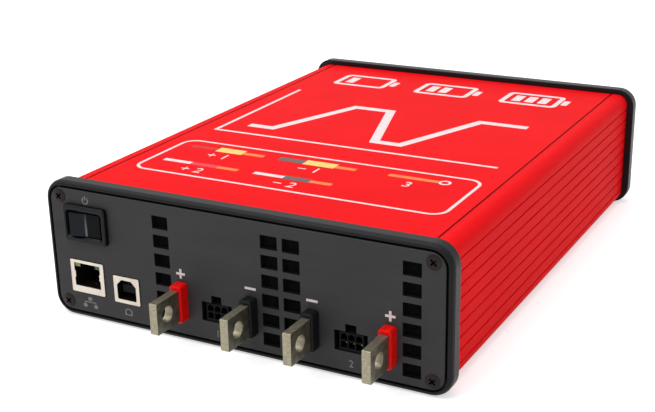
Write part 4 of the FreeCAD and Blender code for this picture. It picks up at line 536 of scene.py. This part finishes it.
fired_ferrite = finish(
    "fired_ferrite", "#3B3C40", "#2C2D30", 0.5, blotch_mm=1.5, grain_mm=0.25, bump_mm=0.02, edge_mm=0.3,
    IOR=1.9)
dress(fired_ferrite, "inductor_cores", "supply_transformer")


# %% Sleeved aluminium cans
SLEEVE_ENDS = 0.7
BARE_TOP_STARTS = 0.8


def sleeved_can(name):
    """Blue sleeve on the sides, bare aluminium on top."""
    material = finish(
        name, "#21489B", "#1A3B85", 0.35, blotch_mm=6.0, grain_mm=0.5, bump_mm=0.006, edge_mm=0.3,
        IOR=1.5)
    tree = material.node_tree
    normal = add(tree, "ShaderNodeNewGeometry").outputs["Normal"]
    upward = add(tree, "ShaderNodeSeparateXYZ", {"Vector": normal}).outputs["Z"]
    top = add(tree, "ShaderNodeMapRange", {
        "Value": upward, "From Min": SLEEVE_ENDS, "From Max": BARE_TOP_STARTS}).outputs["Result"]
    overlay(material, top, "#C4C6C8")
    tree.links.new(top, tree.nodes["Principled BSDF"].inputs["Metallic"])
    return material


dress(sleeved_can("sleeved_aluminium_can"), "capacitors", "supply_capacitors")

# %% [markdown]
# ## Windings
# The coils are wound with copper wire under a clear enamel, which makes the copper redder and keeps it
# bright. Single turns aren't modelled, so two tones and a fine grain stand for the laid wires.

# %% Enamelled copper
enamelled_copper = finish(
    "enamelled_copper", "#C2622A", "#9C461B", 0.25, metallic=1.0, blotch_mm=3.0, grain_mm=0.3,
    bump_mm=0.01, edge_mm=0.2)
dress(enamelled_copper, "inductor_windings")

# %% [markdown]
# ## Printing
# The marks on the cover and the panel are screen-printed: ink is pressed through a stencil and lies
# as a film a few hundredths of a millimetre thick. Each mark is drawn as flat outlines, as a stencil
# is, and a curve with a little depth turns them into a film on the surface. The film is a solid, so
# it casts its edge and stays on in any view. Marks are drawn in mm: on the cover from the middle of
# the panel's face, and on the panel from the panel's own middle.

# %% Ink films
INK_FILM = 0.05
lid_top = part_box("top_cover")[1][2] / MM
panel_low, panel_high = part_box("front_panel")
panel_face = panel_low[1] / MM
middle = (panel_low[2] + panel_high[2]) / 2 / MM


def screen_ink(name, light, dark):
    """Screen-printing ink: matt, and thinner in spots where the mesh of the screen showed."""
    return finish(name, light, dark, 0.6, blotch_mm=1.6, grain_mm=0.4, bump_mm=0.006, edge_mm=0.0,
                  IOR=1.5, Specular_IOR_Level=0.2)


def loops(*outlines):
    """A flat filled curve from closed outlines in mm. An outline inside another makes a hole."""
    curve = bpy.data.curves.new("outlines", "CURVE")
    for outline in outlines:
        spline = curve.splines.new("POLY")
        spline.points.add(len(outline) - 1)
        spline.use_cyclic_u = True
        for point, (across, along) in zip(spline.points, outline):
            point.co = (across, along, 0, 1)
    return curve


def print_on(surface, name, curve, ink):
    """Presses a flat curve, drawn in mm, onto the lid or the panel as a film of ink."""
    curve.dimensions = "2D"
    curve.fill_mode = "BOTH"
    curve.extrude = INK_FILM / 2
    drawn = bpy.data.objects.new(name, curve)
    mesh = bpy.data.meshes.new_from_object(drawn)
    bpy.data.objects.remove(drawn)
    bpy.data.curves.remove(curve)
    if surface == "lid":
        lift = Matrix.Translation((0, panel_face, lid_top + INK_FILM / 2))
        mesh.transform(Matrix.Scale(MM, 4) @ lift)
    else:
        lift = Matrix.Translation((0, panel_face - INK_FILM / 2, middle))
        mesh.transform(Matrix.Scale(MM, 4) @ lift @ Matrix.Rotation(math.pi / 2, 4, "X"))
    mesh.name = name
    mesh.materials.clear()
    mesh.materials.append(ink)
    film = bpy.data.objects.new(name, mesh)
    bpy.context.collection.objects.link(film)
    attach(film, "case")
    print(name, len(mesh.polygons), "faces")


print("lid at", round(lid_top, 2), "panel at", round(panel_face, 2), "middle at", round(middle, 2))


# %% Outlines to draw with
def rounded(left, low, right, high, radius, steps=8):
    """A rounded rectangle."""
    corners = [(right - radius, high - radius, 0), (left + radius, high - radius, 90),
               (left + radius, low + radius, 180), (right - radius, low + radius, 270)]
    outline = []
    for across, along, start in corners:
        for step in range(steps + 1):
            angle = math.radians(start + 90 * step / steps)
            outline.append((across + radius * math.cos(angle), along + radius * math.sin(angle)))
    return outline


def ring(across, along, radius, steps=32):
    """A circle."""
    turns = [2 * math.pi * step / steps for step in range(steps)]
    return [(across + radius * math.cos(t), along + radius * math.sin(t)) for t in turns]


def stroke(path, width):
    """The outline of a line of this width along a path, with mitred corners."""
    path = [Vector(point) for point in path]
    left = []
    right = []
    for i, point in enumerate(path):
        before = (point - path[i - 1]).normalized() if i else (path[1] - point).normalized()
        after = (path[i + 1] - point).normalized() if i + 1 < len(path) else before
        square = Vector((-(before + after).y, (before + after).x)).normalized()
        reach = width / 2 / square.dot(Vector((-before.y, before.x)))
        left.append(tuple(point + square * reach))
        right.append(tuple(point - square * reach))
    return left + right[::-1]


print("a 2 mm line of 3 points has", len(stroke([(0, 0), (5, 0), (5, 5)], 2)), "corners")

# %% [markdown]
# ## The legend on the cover
# A rounded frame near the front edge holds the key to the leads: short bars in the colours of the
# wires, with a number under each group. The bars are flat fields of ink side by side, and the numbers
# are plain, so the key reads in any language.

# %% Frame and coloured bars
FRAME_HALF = 68.1
FRAME_FRONT = 31.8
FRAME_REAR = 74.6
FRAME_RADIUS = 6.5
FRAME_LINE = 1.3
white_ink = screen_ink("white_screen_ink", "#FBEDEE", "#F6DCDD")
rims = [
    rounded(line - FRAME_HALF, FRAME_FRONT + line, FRAME_HALF - line, FRAME_REAR - line, FRAME_RADIUS - line)
    for line in (0, FRAME_LINE)]
print_on("lid", "legend_frame", loops(*rims), white_ink)

# Each field has its left, front, right and rear side.
BARS = {
    "white": [(-61.5, 45.0, -48.3, 47.7), (-18.7, 45.0, -5.1, 47.7)],
    "yellow": [(-48.4, 64.0, -35.9, 69.4), (-6.9, 64.0, 7.2, 69.4)],
    "orange": [(-35.9, 64.7, -25.9, 67.5), (7.2, 64.7, 16.4, 67.5), (30.7, 64.9, 51.8, 67.6),
               (-35.8, 44.8, -26.1, 47.4), (6.4, 44.8, 16.1, 47.4)],
    "grey": [(-18.8, 64.4, -6.9, 68.6), (-5.1, 44.4, 6.4, 48.4)],
    "pale_red": [(-48.3, 44.6, -35.8, 47.9)],
    "dark_red": [(-61.2, 64.9, -48.4, 68.0)],
}
INKS = {"white": white_ink}
for shade, light, dark in [
        ("yellow", "#FADF84", "#F5D678"), ("orange", "#FF8E55", "#F88348"), ("grey", "#75696A", "#6B5F60"),
        ("pale_red", "#F9485A", "#F23E50"), ("dark_red", "#E0323C", "#D62B35")]:
    INKS[shade] = screen_ink(f"{shade}_screen_ink", light, dark)
for shade, fields in BARS.items():
    corners = [[(x0, y0), (x1, y0), (x1, y1), (x0, y1)] for x0, y0, x1, y1 in fields]
    print_on("lid", f"legend_bars_{shade}", loops(*corners), INKS[shade])


# %% [markdown]
# ## Plain numbers
# A stencil for a number is cut from the outline of its figures. A text object gives the figures, and
# its rims are read from the flat mesh, so that all numbers of one colour make one film of ink.


# %% Numbers
# The font that Blender brings has figures 0.7 of its size high.
FONT_SIZE_PER_HEIGHT = 1.43


def figures(marks):
    """One flat curve of plain numbers: each mark is (number, across, along, height in mm)."""
    outlines = []
    for number, across, along, height in marks:
        text = bpy.data.curves.new("figure", "FONT")
        text.body = str(number)
        text.size = height * FONT_SIZE_PER_HEIGHT
        text.align_x = "CENTER"
        text.align_y = "CENTER"
        drawn = bpy.data.objects.new("figure", text)
        flat = bpy.data.meshes.new_from_object(drawn)
        edges = bmesh.new()
        edges.from_mesh(flat)
        rims = [edge for edge in edges.edges if len(edge.link_faces) == 1]
        while rims:
            edge = rims.pop()
            first, here = edge.verts
            outline = [here]
            while here != first:
                edge = next(e for e in here.link_edges if e in rims)
                rims.remove(edge)
                here = edge.other_vert(here)
                outline.append(here)
            outlines.append([(across + v.co.x, along + v.co.y) for v in outline])
        edges.free()
        bpy.data.objects.remove(drawn)
        bpy.data.curves.remove(text)
        bpy.data.meshes.remove(flat)
    return loops(*outlines)


RING_CENTRE = (54.4, 66.3)
RING_RADII = (2.5, 1.5)
print_on("lid", "legend_ring", loops(*[ring(*RING_CENTRE, radius) for radius in RING_RADII]), white_ink)

FIGURE_HEIGHT = 5.5
REAR_ROW = 58.5
FRONT_ROW = 39.0
LEFT_GROUP = -43.6
MIDDLE_GROUP = -1.0
RIGHT_GROUP = 42.0
channels = [
    ("+ 1", LEFT_GROUP, REAR_ROW), ("\u2212 1", MIDDLE_GROUP, REAR_ROW), ("3", RIGHT_GROUP, REAR_ROW),
    ("+ 2", LEFT_GROUP, FRONT_ROW), ("\u2212 2", MIDDLE_GROUP, FRONT_ROW)]
print_on("lid", "legend_numbers", figures([(*mark, FIGURE_HEIGHT) for mark in channels]), white_ink)

# %% [markdown]
# ## The pictures on the cover
# The large white marks say what the box does, without words. Three cells that fill up stand near the
# rear, and in front of them a curve rises and falls as a cell is charged and discharged. Both are
# drawn with lines as thick as the lettering that such a cover carries.

# %% Three cells that fill up
CELL_MIDDLES = [-43, 1, 45]
CELL_LEFT = 15
CELL_RIGHT = 13
CELL_FRONT = 186
CELL_REAR = 206
CELL_RADIUS = 3
CELL_INNER_RADIUS = 1.2
CELL_LINE = 2.4
CAP_GAP = 0.8
CAP_LENGTH = 3
CAP_INSET = 6
CAP_RADIUS = 1
BAR_INSET = 5
BAR_PITCH = 6.4
BAR_LENGTH = 4.4
BAR_RADIUS = 0.6

cells = []
for count, centre in enumerate(CELL_MIDDLES, start=1):
    left = centre - CELL_LEFT
    right = centre + CELL_RIGHT
    cap = right + CAP_GAP
    cells.append(rounded(left, CELL_FRONT, right, CELL_REAR, CELL_RADIUS))
    cells.append(rounded(
        left + CELL_LINE, CELL_FRONT + CELL_LINE, right - CELL_LINE, CELL_REAR - CELL_LINE,
        CELL_INNER_RADIUS))
    cells.append(rounded(cap, CELL_FRONT + CAP_INSET, cap + CAP_LENGTH, CELL_REAR - CAP_INSET, CAP_RADIUS))
    for bar in range(count):
        start = left + BAR_INSET + bar * BAR_PITCH
        end = start + BAR_LENGTH
        cells.append(rounded(start, CELL_FRONT + BAR_INSET, end, CELL_REAR - BAR_INSET, BAR_RADIUS))
print_on("lid", "cell_pictures", loops(*cells), white_ink)

# %% A charging curve
EMPTY = 104
FULL = 150
CURVE_LINE = 4.2
AXIS_LINE = 1.6
curve_points = [
    (-56, EMPTY), (-44, EMPTY), (-26, FULL), (-8, FULL), (6, EMPTY), (18, EMPTY), (36, FULL), (58, FULL)]
axis_points = [(-66, 168), (-66, 92), (66, 92)]
cycle = [stroke(curve_points, CURVE_LINE), stroke(axis_points, AXIS_LINE)]
print_on("lid", "cycle_picture", loops(*cycle), white_ink)

# %% [markdown]
# ## Signs on the panel
# Plus and minus signs say which blade is which. They are the only marks that matter to safety, so
# they are large and white. The small faint marks by the sockets are plain: a ring with a stroke for
# power, joined boxes for the network, a cut square for the serial socket and a number per channel.

# %% Plus and minus signs
PLUS_CENTRES = [(-23.74, -0.75), (62.67, -0.68)]
# Each minus sign has its left side, right side and height.
MINUS_SIGNS = [(4.32, 8.97, -1.0), (29.83, 34.45, -0.85)]
PLUS_ARM = 1.95
HALF_LINE = 0.475

signs = []
for across, along in PLUS_CENTRES:
    turns = [(PLUS_ARM, HALF_LINE), (HALF_LINE, HALF_LINE), (HALF_LINE, PLUS_ARM)]
    plus = []
    for across_sign, along_sign, order in [(1, 1, 1), (-1, 1, -1), (-1, -1, 1), (1, -1, -1)]:
        plus += [(across + x * across_sign, along + y * along_sign) for x, y in turns[::order]]
    signs.append(plus)
for left, right, along in MINUS_SIGNS:
    low = along - HALF_LINE
    high = along + HALF_LINE
    signs.append([(left, low), (right, low), (right, high), (left, high)])
print_on("panel", "terminal_signs", loops(*signs), screen_ink("panel_white_ink", "#E4DADA", "#D9CECE"))

# %% Small faint marks
FAINT_LINE = 0.45
POWER_CENTRE = (-66.2, 21.7)
POWER_RADIUS = 1.3
POWER_STEM = [(-66.2, 21.9), (-66.2, 23.6)]
POWER_START = 125
POWER_SWEEP = 290
POWER_STEPS = 16
power = []
for step in range(POWER_STEPS + 1):
    angle = math.radians(POWER_START + POWER_SWEEP * step / POWER_STEPS)
    power.append((
        POWER_CENTRE[0] + POWER_RADIUS * math.cos(angle), POWER_CENTRE[1] + POWER_RADIUS * math.sin(angle)))
small = [stroke(power, FAINT_LINE), stroke(POWER_STEM, FAINT_LINE)]

BOX_CENTRES = [(-68, -19.6), (-70.6, -22.6), (-65.4, -22.6)]
BOX_HALF_WIDTH = 0.9
BOX_HALF_HEIGHT = 0.7
BOX_RADIUS = 0.2
LINK_LINE = 0.4
LINK = [(-70.6, -21.7), (-70.6, -21.0), (-65.4, -21.0), (-65.4, -21.7)]
for across, along in BOX_CENTRES:
    small.append(rounded(
        across - BOX_HALF_WIDTH, along - BOX_HALF_HEIGHT, across + BOX_HALF_WIDTH, along + BOX_HALF_HEIGHT,
        BOX_RADIUS))
small.append(stroke(LINK, LINK_LINE))

PORT_CENTRE = (-49.4, -21.6)
PORT_OUTLINE = [(-1.7, -1.4), (1.7, -1.4), (1.7, 0.6), (0.9, 1.4), (-0.9, 1.4), (-1.7, 0.6)]
PORT_SCALES = (1.0, 0.7)
for scale in PORT_SCALES:
    small.append([(PORT_CENTRE[0] + x * scale, PORT_CENTRE[1] + y * scale) for x, y in PORT_OUTLINE])

CHANNEL_HEIGHT = 2.8
CHANNEL_NUMBERS = [(1, -8.4, -22.4, CHANNEL_HEIGHT), (2, 47.4, -22.4, CHANNEL_HEIGHT)]
faint_ink = screen_ink("faint_screen_ink", "#8A8888", "#7E7C7C")
print_on("panel", "socket_marks", loops(*small), faint_ink)
print_on("panel", "channel_numbers", figures(CHANNEL_NUMBERS), faint_ink)

# %% [markdown]
# ## Dust filter and shade behind the vents
# Air is drawn in through the front vents, so strips of black open-cell foam sit behind them and keep
# dust out. The strips also stand for the shade inside the case: a dark sheet where there is shade,
# which is why the vents look black. Real foam is a web of cells about 0.5 mm across. A web of edges
# would be heavy, so each strip is a thin pad with soft rims, and Voronoi cells on it carry the pores
# as bumps, with painted shade in the pits.


# %% Open-cell foam with painted shade in the pores
PORE_WIDTH = 0.6 * MM
PORE_DEPTH = 0.15 * MM
# Shares of a pore's width, from its wall inwards, between which the foam turns from web to hollow.
WEB_ENDS = 0.05
HOLLOW_STARTS = 0.2


def open_cell_foam(name):
    """Black foam that stands for shade, with painted shade in its pores."""
    material = finish(
        name, "#141416", "#0C0C0D", 0.9, blotch_mm=3.0, grain_mm=0.5, bump_mm=0.02, edge_mm=0.3,
        IOR=1.4, Specular_IOR_Level=0.1)
    tree = material.node_tree
    place = add(tree, "ShaderNodeTexCoord").outputs["Object"]
    cells = {"Vector": place, "Scale": 1 / PORE_WIDTH}
    from_wall = add(tree, "ShaderNodeTexVoronoi", cells, feature="DISTANCE_TO_EDGE").outputs["Distance"]
    pores = add(tree, "ShaderNodeMapRange", {
        "Value": from_wall, "From Min": WEB_ENDS, "From Max": HOLLOW_STARTS}).outputs["Result"]
    # Painted shade: near black in the hollows of the pores.
    overlay(material, pores, "#050506")
    relief = {"Height": pores, "Distance": PORE_DEPTH, "Strength": 1.0}
    sunk = add(tree, "ShaderNodeBump", relief, invert=True)
    tree.links.new(sunk.outputs["Normal"], tree.nodes["Principled BSDF"].inputs["Normal"])
    return material


filter_foam_and_shade = open_cell_foam("open_cell_foam")
print("pores in mm:", round(PORE_WIDTH / MM, 2))

# %% Foam pads
FOAM_THICKNESS = 1.5
FOAM_LOW = 5.2
FOAM_HIGH = 51.0
RIM_SOFTNESS = 0.3 * MM
VENT_FIELDS = [("left", -36.6, -27.0), ("middle", 10.2, 28.8), ("right", 66.0, 75.6)]


def pad(name, low, high, material):
    """A flat pad with soft rims between two corners in mm."""
    low = Vector(low) * MM
    high = Vector(high) * MM
    place = Matrix.Translation((low + high) / 2) @ Matrix.Diagonal((*(high - low), 1))
    shape = bmesh.new()
    bmesh.ops.create_cube(shape, size=1.0)
    bmesh.ops.transform(shape, matrix=place, verts=shape.verts)
    bmesh.ops.bevel(shape, geom=shape.edges[:], offset=RIM_SOFTNESS, segments=3, profile=0.5, affect="EDGES")
    mesh = bpy.data.meshes.new(name)
    shape.to_mesh(mesh)
    shape.free()
    mesh.materials.append(material)
    piece = bpy.data.objects.new(name, mesh)
    bpy.context.collection.objects.link(piece)
    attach(piece, "case")
    print(name, [round(side / MM, 1) for side in high - low], "mm")


panel_back = panel_high[1] / MM
# Each pad is a dark sheet behind a vent that stands for the shade inside the case.
for side, left, right in VENT_FIELDS:
    front_corner = (left, panel_back, FOAM_LOW)
    back_corner = (right, panel_back + FOAM_THICKNESS, FOAM_HIGH)
    pad(f"{side}_vent_filter_and_shade", front_corner, back_corner, filter_foam_and_shade)

# %% [markdown]
# ## Camera
# The picture was taken from above right with a medium long lens. The lens, place and tilt were worked
# out from the corners of the panel and the edges of the cover. The lens is shifted a little instead
# of turned, so the upright edges keep their slant.

# %% Place the camera
AZIMUTH = 0.494
ELEVATION = 0.358
ROLL = -0.019
CAMERA_PLACE = (0.22585, -0.45047, 0.20501)
LENS_LENGTH = 67.36
SENSOR_WIDTH = 36
SHIFT_ACROSS = -0.0058
SHIFT_UP = 0.0228

right = Vector((math.cos(AZIMUTH), math.sin(AZIMUTH), 0))
back = Vector((
    math.sin(AZIMUTH) * math.cos(ELEVATION), -math.cos(AZIMUTH) * math.cos(ELEVATION), math.sin(ELEVATION)))
up = back.cross(right)
tilted_right = right * math.cos(ROLL) + up * math.sin(ROLL)
tilted_up = up * math.cos(ROLL) - right * math.sin(ROLL)
turned = Matrix((tilted_right, tilted_up, back)).transposed().to_4x4()

lens = bpy.data.cameras.new("camera")
lens.lens = LENS_LENGTH
lens.sensor_width = SENSOR_WIDTH
lens.shift_x = SHIFT_ACROSS
lens.shift_y = SHIFT_UP
lens.clip_start = 0.01
camera = bpy.data.objects.new("camera", lens)
camera.matrix_world = Matrix.Translation(CAMERA_PLACE) @ turned
bpy.context.collection.objects.link(camera)
bpy.context.scene.camera = camera
print("camera is", round(camera.location.length, 3), "m from the part")

# %% [markdown]
# ## Floor and light
# A studio for catalogue pictures is a white sheet, a broad soft lamp overhead and pale walls. The
# floor is a matt white sheet that still takes the part's shadow. The room is white to the lens and to
# reflections, but gives less light than it shows, so the lamp can shape the part.


# %% Rays that see the studio
def lens_or_mirror(tree):
    """1 for rays that the lens, a reflection or clear plastic sees."""
    path = add(tree, "ShaderNodeLightPath")
    seen = path.outputs["Is Camera Ray"]
    for also in ("Is Glossy Ray", "Is Transmission Ray"):
        either = {0: seen, 1: path.outputs[also]}
        seen = add(tree, "ShaderNodeMath", either, operation="MAXIMUM").outputs["Value"]
    return seen


print("the lens, mirrors and clear plastic see the studio white")

# %% White floor
FLOOR_SIDE = 6.0
FLOOR_GAP = 0.0002
FLOOR_LIFT = 0.55
reach = FLOOR_SIDE / 2
corners = [
    (across * reach, along * reach, -FLOOR_GAP) for across, along in [(-1, -1), (1, -1), (1, 1), (-1, 1)]]
sheet_mesh = bpy.data.meshes.new("floor")
sheet_mesh.from_pydata(corners, [], [(0, 1, 2, 3)])
floor = bpy.data.objects.new("floor", sheet_mesh)
bpy.context.collection.objects.link(floor)

white_sheet = bpy.data.materials.new("white_paper_sheet")
white_sheet.use_nodes = True
tree = white_sheet.node_tree
tree.nodes.clear()
matt = add(tree, "ShaderNodeBsdfDiffuse", {"Color": linear("#F0F0F0")})
lift = add(tree, "ShaderNodeMath", {0: lens_or_mirror(tree), 1: FLOOR_LIFT}, operation="MULTIPLY")
glow = add(tree, "ShaderNodeEmission", {"Strength": lift.outputs["Value"]})
paper = add(tree, "ShaderNodeAddShader", {0: matt.outputs["BSDF"], 1: glow.outputs["Emission"]})
add(tree, "ShaderNodeOutputMaterial", {"Surface": paper.outputs["Shader"]})
sheet_mesh.materials.append(white_sheet)
print("floor side in m:", FLOOR_SIDE)

# %% Room
ROOM_LIGHT = 0.5
room = bpy.data.worlds.new("white_room")
room.use_nodes = True
bpy.context.scene.world = room
tree = room.node_tree
tree.nodes.clear()
level = add(tree, "ShaderNodeMapRange", {"Value": lens_or_mirror(tree), "To Min": ROOM_LIGHT, "To Max": 1.0})
walls = add(tree, "ShaderNodeBackground", {"Color": (1, 1, 1, 1), "Strength": level.outputs["Result"]})
add(tree, "ShaderNodeOutputWorld", {"Surface": walls.outputs["Background"]})
print("the room gives", ROOM_LIGHT, "of the light that it shows")


# %% Lamps
def softbox(name, place, aim, width, height, watts):
    """A flat lamp at a place, turned to face a point."""
    light = bpy.data.lights.new(name, "AREA")
    light.shape = "RECTANGLE"
    light.size = width
    light.size_y = height
    light.energy = watts
    lamp = bpy.data.objects.new(name, light)
    lamp.location = place
    lamp.rotation_euler = (Vector(aim) - Vector(place)).to_track_quat("-Z", "Y").to_euler()
    bpy.context.collection.objects.link(lamp)
    print(name, watts, "W")


softbox("overhead_softbox", place=(-0.3, -0.4, 1.5), aim=(0, 0, 0), width=1.6, height=1.6, watts=18)

# %% [markdown]
# ## Finish
# The picture uses the Standard view transform.

# %% Set the view transform
bpy.context.scene.view_settings.view_transform = "Standard"
